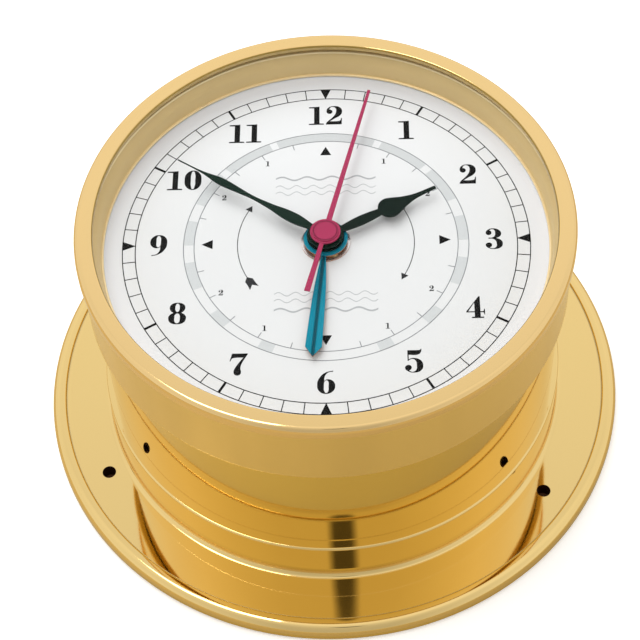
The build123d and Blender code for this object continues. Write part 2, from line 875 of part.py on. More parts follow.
def step_rotor():
    """The motor's rotor: a round magnet and a pinion on one arbor."""
    middle = stator_low + stator_thickness / 2
    rotor = arbor(rotor_axis, rear_bridge_low, front_bridge_top)
    rotor += rod(magnet_radius, middle - magnet_height / 2, middle + magnet_height / 2, rotor_axis)
    return rotor + gear(
        rotor_teeth, going_module, intermediate_level, rotor_phase, pinion_margin, rotor_axis
    )


def intermediate_wheel():
    """The wheel between the rotor and the seconds wheel."""
    wheel = arbor(intermediate_axis, rear_bridge_low, front_bridge_top)
    wheel += gear(
        intermediate_teeth,
        going_module,
        intermediate_level,
        intermediate_phase,
        0.0,
        intermediate_axis,
    )
    return wheel + gear(
        intermediate_pinion_teeth,
        going_module,
        seconds_level,
        intermediate_pinion_phase,
        pinion_margin,
        intermediate_axis,
    )


def seconds_arbor():
    """The long arbor of the second hand, with its wheel and pinion."""
    shaft_low = rear_bridge_top + pivot_shoulder
    shaft = rod(pivot_radius, rear_bridge_low, shaft_low)
    shaft += rod(second_arbor_radius, shaft_low, second_disc_top)
    shaft += gear(seconds_teeth, going_module, seconds_level, seconds_phase)
    return shaft + gear(seconds_pinion_teeth, third_module, third_level, 0.0, pinion_margin)


def third_wheel():
    """The wheel between the seconds pinion and the centre wheel."""
    wheel = arbor(third_axis, rear_bridge_low, front_bridge_top)
    wheel += gear(third_teeth, third_module, third_level, third_phase, 0.0, third_axis)
    return wheel + gear(
        third_pinion_teeth, clutch_module, clutch_level, 0.0, pinion_margin, third_axis
    )


def centre_wheel():
    """The wheel that drives the minute pipe by friction."""
    wheel = gear(clutch_teeth, clutch_module, clutch_level, clutch_phase)
    clutch_top = clutch_level + wheel_thickness
    wheel += rod(hub_radius, clutch_level - pinion_margin, clutch_top + pinion_margin)
    bore = minute_pipe_radius + running_gap
    return wheel - rod(bore, clutch_level - overrun, clutch_top + overrun)


def minute_pipe():
    """The minute hand's pipe, with the pinion that drives the motion work."""
    low = clutch_level - pinion_margin
    pipe = rod(minute_pipe_radius, low, minute_hand_top + hand_pipe_stand)
    pipe += gear(cannon_teeth, cannon_module, motion_level, 0.0, pinion_margin)
    return pipe - rod(minute_pipe_bore, low - overrun, minute_hand_top + overrun)


def motion_wheel():
    """The wheel and pinion between the minute pipe and the hour wheel."""
    wheel = arbor(motion_axis, front_bridge_low, ceiling + bridge_thickness)
    wheel += gear(motion_teeth, cannon_module, motion_level, motion_phase, 0.0, motion_axis)
    return wheel + gear(
        motion_pinion_teeth, hour_module, hour_level, 0.0, pinion_margin, motion_axis
    )


def hour_pipe():
    """The hour hand's pipe, with its own wheel and a second one that drives the tide wheel."""
    low = hour_level - pinion_margin
    pipe = rod(hour_pipe_radius, low, hour_hand_top + hand_pipe_stand)
    pipe += gear(hour_teeth, hour_module, hour_level, hour_phase)
    pipe += gear(hour_tide_teeth, hour_tide_module, hour_tide_level, hour_phase)
    return pipe - rod(hour_pipe_bore, low - overrun, hour_hand_top + overrun)


def tide_idler():
    """The idler with two rows of teeth, between the hour pipe and the tide wheel."""
    wheel = arbor(idler_axis, front_bridge_low, ceiling + bridge_thickness)
    wheel += gear(idler_teeth, hour_tide_module, hour_tide_level, idler_phase, 0.0, idler_axis)
    return wheel + gear(idler_teeth, tide_module, tide_level, idler_phase, 0.0, idler_axis)


def tide_pipe():
    """The tide hand's pipe and its wheel, which turns once in 12 hours 25 minutes."""
    low = tide_level - pinion_margin
    pipe = rod(tide_pipe_radius, low, tide_hand_top + hand_pipe_stand)
    pipe += gear(tide_teeth, tide_module, tide_level, tide_phase)
    return pipe - rod(tide_pipe_bore, low - overrun, tide_hand_top + overrun)


def setting_knob():
    """The knob behind the cover, with the pinion that turns the motion wheel."""
    knob_top = movement_low - knob_stand
    knob = rod(knob_radius, knob_top - knob_height, knob_top, knob_axis)
    for i in range(knob_flutes):
        flute = place(knob_axis, 360 * i / knob_flutes, knob_radius)
        knob -= rod(knob_flute_radius, knob_top - knob_height - overrun, knob_top + overrun, flute)
    pinion_top = motion_level + wheel_thickness + pinion_margin
    knob += rod(knob_arbor_radius, knob_top, pinion_top + knob_arbor_above, knob_axis)
    return knob + gear(knob_teeth, cannon_module, motion_level, knob_phase, pinion_margin, knob_axis)


def hand_blade(length, width, curves, tip):
    """A hand's flat outline along +Y: its side's curves, their mirror images and a narrow tip."""
    sides = []
    for length_shares, width_shares in curves:
        shares = zip(length_shares, width_shares)
        sides.append([(width * across / 2, length * along) for along, across in shares])
    sides[-1].append((tip / 2, length))
    right = [Spline(*side) for side in sides]
    left = [mirror(curve, Plane.YZ) for curve in right]
    start = sides[0][0]
    end = Line((tip / 2, length), (-tip / 2, length))
    root = Line((-start[0], 0.0), start)
    return make_face([*right, end, *left, root])


def hand(blade, hub, bore, low, thickness, angle):
    """A hand cut from sheet: its blade and hub in one piece, bored for its pipe."""
    outline = blade + Circle(hub) - Circle(bore)
    return Pos(0, 0, low) * Rot(0, 0, -angle) * extrude(outline, amount=thickness)


def tide_hand():
    """The tide hand: a blade that widens evenly to a blunt point."""
    side = [
        (tide_hand_width * across / 2, tide_hand_length * along)
        for along, across in zip(tide_length_shares, tide_width_shares)
    ]
    other_side = [(-across, along) for across, along in reversed(side)]
    blade = make_face(Polyline(*side, (0.0, tide_hand_length), *other_side, close=True))
    bore = tide_pipe_radius + running_gap
    return hand(blade, tide_hub_radius, bore, tide_hand_low, tide_hand_thickness, tide_hand_angle)


def hour_hand():
    """The hour hand, with a round bulb before its tip."""
    tip = hour_tip_share * hour_hand_width
    curves = (
        (hour_neck_length_shares, hour_neck_width_shares),
        (hour_bulb_length_shares, hour_bulb_width_shares),
    )
    blade = hand_blade(hour_hand_length, hour_hand_width, curves, tip)
    bore = hour_pipe_radius + press_gap
    return hand(blade, hour_hub_radius, bore, hour_hand_low, hand_thickness, hour_hand_angle)


def minute_hand():
    """The minute hand, with two swellings and a long fine tip."""
    tip = minute_tip_share * minute_hand_width
    curves = ((minute_length_shares, minute_width_shares),)
    blade = hand_blade(minute_hand_length, minute_hand_width, curves, tip)
    bore = minute_pipe_radius + press_gap
    return hand(blade, minute_hub_radius, bore, minute_hand_low, hand_thickness, minute_hand_angle)


def second_hand():
    """The second hand: a thin tapering blade with a tail, under a disc with a raised middle."""
    points = (
        (second_neck_share * second_hand_width / 2, 0.0),
        (second_hand_width / 2, second_hub_radius),
        (second_tip_share * second_hand_width / 2, second_hand_length),
    )
    tail = (
        (second_tail_share * second_hand_width / 2, -second_tail_length),
        (second_neck_share * second_hand_width / 2, -second_hub_radius),
    )
    right = (*tail, *points)
    left = [(-across, along) for across, along in reversed(right)]
    blade = make_face(Polyline(*right, *left, close=True))
    bore = second_arbor_radius + press_gap
    turn = Rot(0, 0, -second_hand_angle)
    flat = Pos(0, 0, second_hand_low) * turn * extrude(blade, amount=hand_thickness)
    disc = rod(second_hub_radius, second_hand_low, second_disc_top)
    disc += rod(second_cap_radius, second_disc_top, second_cap_top)
    return flat + disc - rod(bore, second_hand_low - overrun, second_disc_top)


parts = {
    "mounting_flange": mounting_flange(),
    "grip_ring": grip_ring(),
    "case_drum": case_drum(),
    "bezel_ring": bezel_ring(),
    "glass": glass(),
    "glass_gasket": glass_gasket(),
    "reflector_ring": reflector_ring(),
    "dial_plate": dial_plate(),
    "dial_seat_ring": dial_seat_ring(),
    "dial_feet": dial_feet(),
    "dial_foot_nuts": dial_foot_nuts(),
    "movement_tray": movement_tray(),
    "movement_cover": movement_cover(),
    "cover_screws": cover_screws(),
    "front_bridge": front_bridge(),
    "rear_bridge": rear_bridge(),
    "centre_bush": centre_bush(),
    "rubber_washer": rubber_washer(),
    "centre_washer": centre_washer(),
    "centre_nut": centre_nut(),
    "circuit_board": circuit_board(),
    "driver_chip": driver_chip(),
    "crystal_can": crystal_can(),
    "coil_bobbin": coil_bobbin(),
    "coil_winding": coil_winding(),
    "coil_core": coil_core(),
    "stator_plate": stator_plate(),
    "battery_contact_plus": battery_contact(1),
    "battery_contact_minus": battery_contact(-1),
    "battery_cell": battery_cell(),
    "step_rotor": step_rotor(),
    "intermediate_wheel": intermediate_wheel(),
    "seconds_arbor": seconds_arbor(),
    "third_wheel": third_wheel(),
    "centre_wheel": centre_wheel(),
    "minute_pipe": minute_pipe(),
    "motion_wheel": motion_wheel(),
    "hour_pipe": hour_pipe(),
    "tide_idler": tide_idler(),
    "tide_pipe": tide_pipe(),
    "setting_knob": setting_knob(),
    "tide_hand": tide_hand(),
    "hour_hand": hour_hand(),
    "minute_hand": minute_hand(),
    "second_hand": second_hand(),
}

os.makedirs("parts", exist_ok=True)
for name, shape in parts.items():
    export_step(shape, f"parts/{name}.step")
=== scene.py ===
import json
import math

import bmesh
import bpy
from bpy.props import FloatProperty, FloatVectorProperty, PointerProperty
from mathutils import Matrix, Vector


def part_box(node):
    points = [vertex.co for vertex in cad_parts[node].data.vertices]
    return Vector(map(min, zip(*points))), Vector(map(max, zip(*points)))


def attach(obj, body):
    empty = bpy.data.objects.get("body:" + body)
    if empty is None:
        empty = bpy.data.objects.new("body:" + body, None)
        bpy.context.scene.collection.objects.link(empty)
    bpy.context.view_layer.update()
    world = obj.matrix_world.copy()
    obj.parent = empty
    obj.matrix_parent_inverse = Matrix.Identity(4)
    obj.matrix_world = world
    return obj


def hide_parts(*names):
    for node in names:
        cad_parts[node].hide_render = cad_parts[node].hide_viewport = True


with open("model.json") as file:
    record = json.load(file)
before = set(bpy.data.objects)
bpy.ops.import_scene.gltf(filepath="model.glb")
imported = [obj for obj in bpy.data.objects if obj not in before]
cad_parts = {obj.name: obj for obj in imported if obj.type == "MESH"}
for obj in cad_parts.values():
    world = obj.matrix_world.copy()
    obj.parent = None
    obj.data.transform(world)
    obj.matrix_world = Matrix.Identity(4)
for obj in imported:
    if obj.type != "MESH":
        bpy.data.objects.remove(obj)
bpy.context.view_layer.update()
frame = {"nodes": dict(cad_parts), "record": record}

bl_info = {
    "name": "Tide clock",
    "version": (1, 0, 0),
    "blender": (4, 5, 0),
    "location": "3D View > Sidebar > Tide clock",
    "description": "Brass shells, dial print, finishes and studio for a tide clock",
    "category": "Add Mesh",
}

MM = 0.001
SLOTS = {entry["node"]: entry["material_slot"] for entry in frame["record"]["subparts"]}

# Places on the CAD's pieces, which their finishes and shells use
DIAL_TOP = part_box("dial_plate")[1].z
GLASS_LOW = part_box("glass")[0].z
REFLECTOR_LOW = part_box("reflector_ring")[0].z
BEZEL_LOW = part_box("bezel_ring")[0].z
BEZEL_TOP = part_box("bezel_ring")[1].z
FOOT_HIGHLIGHT_HEIGHT = 0.75 * MM   # height of the painted highlight line at its foot
MOUTH_LIGHT_HEIGHT = 0.4 * MM   # and of the painted light band under the glass
BEZEL_BEAD = 83.8 * MM       # lower edge of the bezel's rolled front
BEZEL_ROUND = 0.6 * MM       # round of the opening's edge
BEZEL_OPENING = 66.3 * MM
BEZEL_FOOT = 0.55 * MM       # height of the painted shade line at the skirt's foot
BEZEL_INSIDE = 69.0 * MM     # within this radius the bezel holds the glass
SKIRT_FACE = 70.5 * MM       # beyond this radius is the bezel's outer side
RIM_GROOVE = 85.6 * MM       # where the flange's raised rim begins
GROOVE_SHADE_REACH = 0.45 * MM     # the painted shade goes this far to both sides of it
RIM_TOP = 5.4 * MM
HUB_EDGE = 6.4 * MM          # the tide hand's blade begins beyond its hub
SCREW_HOLE = 2.05 * MM
SCREW_CIRCLE = 77.597 * MM
SCREWS = tuple(
    (SCREW_CIRCLE * math.cos(math.radians(turn)), SCREW_CIRCLE * math.sin(math.radians(turn)))
    for turn in (86.0, 206.0, 326.0)
)
TIDE_HAND_ANGLE = 185.2      # clockwise from twelve, as it lies in the frame
DISC_GROOVE = 3.4 * MM       # radius of the ring pressed in the second hand's disc


# What a user of the clock would change


class TideClockSizes(bpy.types.PropertyGroup):
    """Sizes of what is printed on the dial."""

    print_height: FloatProperty(
        name="Print height", description="How far the print stands on the dial",
        default=0.03 * MM, min=0.0, precision=5, subtype="DISTANCE", unit="LENGTH",
    )
    track_radius: FloatProperty(
        name="Minute track radius", description="Outer line of the minute track",
        default=59.2 * MM, precision=4, subtype="DISTANCE", unit="LENGTH",
    )
    line_width: FloatProperty(
        name="Fine line", description="Width of the fine printed lines",
        default=0.28 * MM, precision=5, subtype="DISTANCE", unit="LENGTH",
    )
    hour_line_width: FloatProperty(
        name="Hour line", description="Width of the lines at the hours",
        default=0.75 * MM, precision=5, subtype="DISTANCE", unit="LENGTH",
    )
    numeral_height: FloatProperty(
        name="Numeral height", description="Height of the hour numerals",
        default=7.3 * MM, precision=4, subtype="DISTANCE", unit="LENGTH",
    )
    numeral_radius: FloatProperty(
        name="Numeral circle", description="Radius of the circle that the hour numerals stand on",
        default=48.6 * MM, precision=4, subtype="DISTANCE", unit="LENGTH",
    )
    count_height: FloatProperty(
        name="Count height", description="Height of the small numbers of the tide ring",
        default=1.9 * MM, precision=4, subtype="DISTANCE", unit="LENGTH",
    )


class TideClockColours(bpy.types.PropertyGroup):
    """Colours of the case, the dial, its print and the hands."""

    brass: FloatVectorProperty(
        name="Brass", description="Polished brass of the case",
        default=(0.85, 0.59, 0.12), min=0.0, max=1.0, subtype="COLOR",
    )
    enamel: FloatVectorProperty(
        name="Dial", description="White of the dial",
        default=(0.72, 0.722, 0.725), min=0.0, max=1.0, subtype="COLOR",
    )
    ink: FloatVectorProperty(
        name="Black print", description="Black of the numerals and lines",
        default=(0.005, 0.005, 0.005), min=0.0, max=1.0, subtype="COLOR",
    )
    pale_ink: FloatVectorProperty(
        name="Grey print", description="Grey of the tide ring's fields",
        default=(0.545, 0.56, 0.565), min=0.0, max=1.0, subtype="COLOR",
    )
    tide_blue: FloatVectorProperty(
        name="Tide hand", description="Blue of the tide hand",
        default=(0.004, 0.235, 0.335), min=0.0, max=1.0, subtype="COLOR",
    )
    hand_green: FloatVectorProperty(
        name="Hour and minute hands", description="Dark green of the hour and minute hands",
        default=(0.003, 0.017, 0.010), min=0.0, max=1.0, subtype="COLOR",
    )
    second_red: FloatVectorProperty(
        name="Second hand", description="Crimson of the second hand",
        default=(0.39, 0.034, 0.098), min=0.0, max=1.0, subtype="COLOR",
    )


def sizes():
    return bpy.context.scene.tide_clock_sizes


def colours():
    return bpy.context.scene.tide_clock_colours


# Materials


class Wire:
    """A number on its way through the nodes, so that node maths reads as ordinary sums."""

    def __init__(self, nodes, socket):
        self.nodes = nodes
        self.socket = socket

    def maths(self, operation, *values):
        return self.nodes.node("ShaderNodeMath", {"operation": operation}, dict(enumerate(values)))

    def __add__(self, other):
        return self.maths("ADD", self, other)

    __radd__ = __add__

    def __sub__(self, other):
        return self.maths("SUBTRACT", self, other)

    def __rsub__(self, other):
        return self.maths("SUBTRACT", other, self)

    def __mul__(self, other):
        return self.maths("MULTIPLY", self, other)

    def __gt__(self, other):
        return self.maths("GREATER_THAN", self, other)

    def __lt__(self, other):
        return self.maths("LESS_THAN", self, other)

    def __abs__(self):
        return self.maths("ABSOLUTE", self)

    def shaped(self, low, high):
        """0 below low, 1 above high and even between them."""
        return self.nodes.node(
            "ShaderNodeMapRange", {"clamp": True}, {"Value": self, "From Min": low, "From Max": high}
        )


class Nodes:
    """A node tree, and the one way in which nodes are added to it."""

    def __init__(self, tree):
        self.tree = tree
        self.tree.nodes.clear()
        self.place = None

    def join(self, socket, value):
        """Links a wire to a socket, or writes a plain value in it."""
        if isinstance(value, Wire):
            self.tree.links.new(value.socket, socket)
        elif socket.type == "RGBA" and len(value) == 3:
            socket.default_value = (*value, 1.0)
        else:
            socket.default_value = value

    def node(self, kind, settings=None, sockets=None, result=None):
        """Adds a node, sets its settings and then its sockets, and gives its result."""
        made = self.tree.nodes.new(kind)
        for setting, value in (settings or {}).items():
            if setting == "stops":
                ramp = made.color_ramp
                while len(ramp.elements) < len(value):
                    ramp.elements.new(1.0)
                for element, (at, colour) in zip(ramp.elements, value):
                    element.position = at
                    element.color = (*colour, 1.0)
            else:
                setattr(made, setting, value)
        for name, value in (sockets or {}).items():
            if isinstance(name, int):
                socket = made.inputs[name]
            else:
                socket = next(s for s in made.inputs if name in (s.identifier, s.name))
            self.join(socket, value)
        if not made.outputs:
            return None
        if result is None:
            return Wire(self, made.outputs[0])
        return Wire(self, next(s for s in made.outputs if result in (s.identifier, s.name)))

    def coordinates(self, scale=(1.0, 1.0, 1.0), turn=(0.0, 0.0, 0.0)):
        """The piece's own coordinates, in metres, through a Mapping node."""
        if self.place is None:
            self.place = self.node("ShaderNodeTexCoord", result="Object")
        return self.node("ShaderNodeMapping", {}, {"Vector": self.place, "Scale": scale, "Rotation": turn})

    def split(self, vector):
        """The x, y and z of a vector as three numbers."""
        return [self.node("ShaderNodeSeparateXYZ", {}, {"Vector": vector}, result=axis) for axis in "XYZ"]

    def axes(self, turn=(0.0, 0.0, 0.0)):
        """The piece's own x, y and z as three numbers."""
        return self.split(self.coordinates(turn=turn))

    def noise(self, scale, detail=3.0, stretch=(1.0, 1.0, 1.0)):
        """Soft noise with so many features in a metre."""
        return self.node(
            "ShaderNodeTexNoise", {},
            {"Vector": self.coordinates(stretch), "Scale": scale, "Detail": detail, "Roughness": 0.55},
        )

    def distance(self, x, y):
        """How far a place is from the clock's axis, or from a place that x and y are counted from."""
        return self.node("ShaderNodeMath", {"operation": "SQRT"}, {0: x * x + y * y})

    def mixed(self, share, first, second):
        """A colour between two colours."""
        return self.node(
            "ShaderNodeMix", {"data_type": "RGBA"},
            {"Factor_Float": share, "A_Color": first, "B_Color": second}, result="Result_Color",
        )


class Finish(Nodes):
    """A material built round one Principled shader."""

    def __init__(self, name, **fixed):
        self.material = bpy.data.materials.new(name)
        self.material.use_nodes = True
        super().__init__(self.material.node_tree)
        self.shader = self.tree.nodes.new("ShaderNodeBsdfPrincipled")
        self.output = self.tree.nodes.new("ShaderNodeOutputMaterial")
        self.tree.links.new(self.shader.outputs["BSDF"], self.output.inputs["Surface"])
        for socket, value in fixed.items():
            self.join(self.shader.inputs[socket.replace("_", " ")], value)

    def made(self, colour, rough, height=None, depth=0.0, strength=0.0):
        """Joins the colour, the roughness and the bump, and gives the material."""
        self.join(self.shader.inputs["Base Color"], colour)
        self.join(self.shader.inputs["Roughness"], rough)
        if height is not None:
            sockets = {"Height": height, "Distance": depth, "Strength": strength}
            self.join(self.shader.inputs["Normal"], self.node("ShaderNodeBump", {}, sockets))
        return self.material


def shaded(colour, share):
    """A plain colour with this share of its light: under 1 is darker and over 1 is paler."""
    return tuple(part * share for part in colour)


def polished_brass(name, polish=0.035, changed=None):
    """Lacquered brass, mirror bright and a little cloudy; changed gives its places of another look."""
    finish = Finish(name, Metallic=1.0, Coat_Weight=0.35, Coat_Roughness=0.03)
    cloud = finish.noise(38.0, 4.0)
    grain = finish.noise(900.0, 2.0)
    base = tuple(colours().brass)
    cooler = (base[0] * 0.975, base[1] * 0.955, base[2] * 0.9)
    colour = finish.mixed(cloud.shaped(0.35, 0.75), base, cooler)
    rough = polish + cloud.shaped(0.45, 0.8) * 0.02 + grain * 0.012
    if changed is not None:
        colour, rough = changed(finish, colour, rough)
    return finish.made(colour, rough, cloud, 0.04 * MM, 0.2)


# Brass colours: a painted sheen on the upward faces and the bead, painted shade under the lip, at the
# opening's edge, in the rim's groove and in the screw holes, and the dragged satin of a handled skirt
FACE_SHEEN = (0.88, 0.635, 0.245)
BEAD_SHEEN = (0.88, 0.615, 0.26)
DRAGGED_SKIRT = (0.88, 0.64, 0.225)
SEAT_SHADE = (0.58, 0.42, 0.17)
EDGE_SHADE = (0.42, 0.27, 0.06)
GROOVE_SHADE_COLOUR = (0.60, 0.45, 0.20)
HOLE_SHADE_BROWN = (0.085, 0.035, 0.018)
SHEEN_HEIGHTS = ((2.6 * MM, 6.9 * MM), (19.5 * MM, 21.0 * MM))    # painted sheen on the flange's face and the collar's top


def flange_brass(name):
    """The flange has a painted sheen on its face and the collar's top, and painted shade in the groove at
    its rim and in its holes.
    """
    def changed(finish, colour, rough):
        x, y, z = finish.axes()
        # painted sheen: paler brass on the upward faces
        for low, high in SHEEN_HEIGHTS:
            colour = finish.mixed((z > low) * (z < high), colour, FACE_SHEEN)
        # painted shade in the groove where the rim begins
        groove_shade = (abs(finish.distance(x, y) - RIM_GROOVE) < GROOVE_SHADE_REACH) * (z < RIM_TOP)
        colour = finish.mixed(groove_shade, colour, GROOVE_SHADE_COLOUR)
        rough = rough + groove_shade * 0.35
        # painted shade: the screw holes' walls are near black
        for hole in SCREWS:
            drilled = finish.distance(x - hole[0], y - hole[1]) < SCREW_HOLE + 0.06 * MM
            colour = finish.mixed(drilled, colour, HOLE_SHADE_BROWN)
            rough = rough + drilled * 0.5
        return colour, rough

    return polished_brass(name, changed=changed)


def bezel_brass(name):
    """The bezel has a painted sheen on its bead, painted shade under its lip, at its opening's edge and at
    its skirt's foot, and dragged satin down its skirt.
    """
    def changed(finish, colour, rough):
        x, y, z = finish.axes()
        away = finish.distance(x, y)
        # masks of the painted shade under the lip and at the opening's edge
        lip_shade = (z < BEZEL_TOP - BEZEL_ROUND) * (away < BEZEL_INSIDE)
        edge = (z > BEZEL_TOP - BEZEL_ROUND) * (away < BEZEL_OPENING + 0.5 * BEZEL_ROUND)
        side = (z > BEZEL_LOW) * (z < BEZEL_BEAD) * (away > SKIRT_FACE)
        drag = finish.noise(55.0, 2.0, (1.0, 1.0, 0.05))
        skirt = finish.mixed(drag.shaped(0.35, 0.7), DRAGGED_SKIRT, shaded(DRAGGED_SKIRT, 0.93))
        # painted sheen on the bead; painted shade under the lip, at the opening's edge and at the skirt's
        # foot
        colour = finish.mixed(z > BEZEL_BEAD, colour, BEAD_SHEEN)
        colour = finish.mixed(lip_shade, colour, SEAT_SHADE)
        colour = finish.mixed(edge, colour, EDGE_SHADE)
        colour = finish.mixed(z < BEZEL_LOW + BEZEL_FOOT, colour, shaded(colours().brass, 0.55))
        colour = finish.mixed(side, colour, skirt)
        rough = rough + (lip_shade + edge) * 0.3 + side * (0.18 + drag * 0.16)
        return colour, rough

    return polished_brass(name, 0.07, changed)


def satin_brass(name):
    """Matt gilding on the reflector ring, without sharp reflections, with a painted highlight line at its
    foot and painted light under the glass against the lip's shade.
    """
    finish = Finish(name, Metallic=0.6)
    base, mouth_light_colour, foot_highlight_colour = (0.80, 0.605, 0.29), (1.0, 0.84, 0.52), (0.95, 0.76, 0.44)
    rings = finish.noise(420.0, 3.0, (0.05, 0.05, 8.0))
    cloud = finish.noise(50.0)
    height = finish.axes()[2]
    # painted highlight at the foot and painted light under the glass
    foot_highlight = height < REFLECTOR_LOW + FOOT_HIGHLIGHT_HEIGHT
    mouth_light = height > GLASS_LOW - MOUTH_LIGHT_HEIGHT
    colour = finish.mixed(cloud, base, shaded(base, 0.93))
    colour = finish.mixed(mouth_light, colour, mouth_light_colour)
    colour = finish.mixed(foot_highlight, colour, foot_highlight_colour)
    return finish.made(colour, 0.5 + rings * 0.14 - foot_highlight * 0.28, rings, 0.03 * MM, 0.3)


def plain_brass(name):
    """Turned brass of the movement's wheels and plates."""
    finish = Finish(name, Metallic=1.0)
    grain = finish.noise(1400.0)
    tarnish = finish.noise(120.0, 4.0)
    colour = finish.mixed(tarnish.shaped(0.4, 0.8), (0.78, 0.56, 0.26), (0.62, 0.42, 0.18))
    return finish.made(colour, 0.24 + grain * 0.16, grain, 0.02 * MM, 0.4)


def rubber(name, first, second, spread, rough, fineness):
    """Moulded rubber, mottled from one colour to the other where its grain lies within the spread."""
    finish = Finish(name)
    grain = finish.noise(fineness, 4.0)
    colour = finish.mixed(grain.shaped(*spread), first, second)
    return finish.made(colour, rough + grain * 0.2, grain, 0.04 * MM, 0.5)


def clear_glass(name):
    """Thin flat bloomed glass: what is behind it shows, and its faces shine a little at a slant."""
    finish = Finish(name, Metallic=1.0)
    smear = finish.noise(60.0)
    clear = finish.node("ShaderNodeBsdfTransparent", {}, {"Color": (0.992, 0.995, 0.994)})
    slant = finish.node("ShaderNodeFresnel", {}, {"IOR": 1.25})
    shine = Wire(finish, finish.shader.outputs["BSDF"])
    blend = finish.node("ShaderNodeMixShader", {}, {0: slant * 0.18, 1: clear, 2: shine})
    finish.join(finish.output.inputs["Surface"], blend)
    return finish.made((0.97, 0.98, 0.98), 0.01 + smear.shaped(0.55, 0.9) * 0.05)


# Painted light: the dial pales outwards between these radii, and upwards between these distances from its
# middle, against the bezel's shade
PALE_RADII = (57.0 * MM, 64.6 * MM)
PALE_CLIMB = (5.0 * MM, 58.0 * MM)


def white_enamel(name):
    """The dial's white, with painted light: a little paler towards its top and its edge, against the
    bezel's shade.
    """
    finish = Finish(name, Specular_IOR_Level=0.3)
    cloud = finish.noise(45.0)
    grain = finish.noise(2600.0, 2.0)
    base = tuple(colours().enamel)
    x, y, _ = finish.axes()
    # painted light towards the edge and the top, against the bezel's shade
    border = (x * x + y * y).shaped(*(radius ** 2 for radius in PALE_RADII))
    top = y.shaped(*PALE_CLIMB)
    colour = finish.mixed(cloud, base, shaded(base, 0.985))
    colour = finish.mixed(top, colour, (0.785, 0.79, 0.80))
    colour = finish.mixed(border, colour, (0.80, 0.815, 0.87))
    return finish.made(colour, 0.42 + grain * 0.1, grain, 0.008 * MM, 0.3)


def brushed_metal(name, base, across, rough):
    """Metal with fine lines of its rolling or turning."""
    finish = Finish(name, Metallic=1.0)
    lines = finish.noise(900.0, 3.0, across)
    cloud = finish.noise(90.0)
    colour = finish.mixed(cloud, base, shaded(base, 0.86))
    return finish.made(colour, rough + lines * 0.14, lines, 0.02 * MM, 0.35)


def moulded_plastic(name, base, rough, shade=0.8):
    """Plastic with the fine grain of its mould."""
    finish = Finish(name)
    grain = finish.noise(1500.0)
    flow = finish.noise(70.0, 2.0)
    colour = finish.mixed(flow, base, shaded(base, shade))
    return finish.made(colour, rough + grain * 0.14, grain, 0.03 * MM, 0.35)


def green_board(name):
    """A board with the faint lines of its tracks under the green."""
    finish = Finish(name, Coat_Weight=0.4, Coat_Roughness=0.2)
    tracks = finish.node(
        "ShaderNodeTexBrick", {"offset": 0.37, "squash": 1.0},
        {"Vector": finish.coordinates(), "Scale": 320.0, "Mortar Size": 0.09,
         "Color1": (0.006, 0.075, 0.03), "Color2": (0.008, 0.09, 0.038), "Mortar": (0.03, 0.19, 0.07)},
    )
    return finish.made(tracks, 0.38 + finish.noise(500.0) * 0.1)


def copper_wire(name):
    """Fine enamelled wire, wound in rows round an axis along X."""
    finish = Finish(name, Metallic=1.0, Coat_Weight=0.5)
    rows = finish.node(
        "ShaderNodeTexWave", {"wave_type": "BANDS", "bands_direction": "X", "wave_profile": "SIN"},
        {"Vector": finish.coordinates(), "Scale": 900.0, "Distortion": 0.4},
    )
    colour = finish.mixed(rows, (0.30, 0.09, 0.03), (0.62, 0.24, 0.10))
    return finish.made(colour, 0.28 + rows * 0.1, rows, 0.06 * MM, 0.8)


CELL_BAND = 13.5 * MM        # the copper-coloured band at the cell's plus end
CELL_CAP = 1.6 * MM          # bare steel at its plus end, with the pip
CELL_BASE = 0.6 * MM         # bare steel at its minus end


def battery_jacket(name):
    """A plain cell: a dark jacket with a copper-coloured band, and bare steel ends along X."""
    finish = Finish(name)
    low, high = (corner.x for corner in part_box("battery_cell"))
    along = finish.axes()[0]
    band = along > high - CELL_BAND
    end = along.maths("MAXIMUM", along > high - CELL_CAP, along < low + CELL_BASE)
    scuff = finish.noise(260.0, 4.0)
    jacket = finish.mixed(band, (0.012, 0.014, 0.02), (0.55, 0.26, 0.07))
    steel = finish.mixed(scuff, (0.62, 0.62, 0.62), (0.45, 0.45, 0.46))
    finish.join(finish.shader.inputs["Metallic"], end.maths("MAXIMUM", end, band * 0.7))
    return finish.made(finish.mixed(end, jacket, steel), 0.26 + scuff * 0.18)


BARE_EDGE = (0.42, 0.19, 0.09)    # a pressed hand's cut edge, where no paint holds
CREASE_SHADE = (0.34 * MM, 0.72 * MM)   # the painted shade down the tide hand's crease fades out between these
RISE = 2.4 * MM                   # its blade rises from the crease over this width
PAINT_DEPTH = 0.07 * MM           # below this the tide hand's edge is bare
PRESSED_RING = (0.10 * MM, 0.32 * MM)    # so does the painted shade of the ring in the second hand's disc


def pressed_paint(name, base, rough):
    """Paint on a pressed hand: the finish, its colour, its roughness and its fine grain."""
    finish = Finish(name, Specular_IOR_Level=0.1)
    base = tuple(base)
    grain = finish.noise(1600.0)
    cloud = finish.noise(160.0, 2.0)
    return finish, finish.mixed(cloud, base, shaded(base, 0.86)), rough + grain * 0.12, grain


def green_paint(name, base):
    """The dark paint of the hour and minute hands."""
    finish, colour, rough, grain = pressed_paint(name, base, 0.25)
    return finish.made(colour, rough, grain, 0.01 * MM, 0.35)


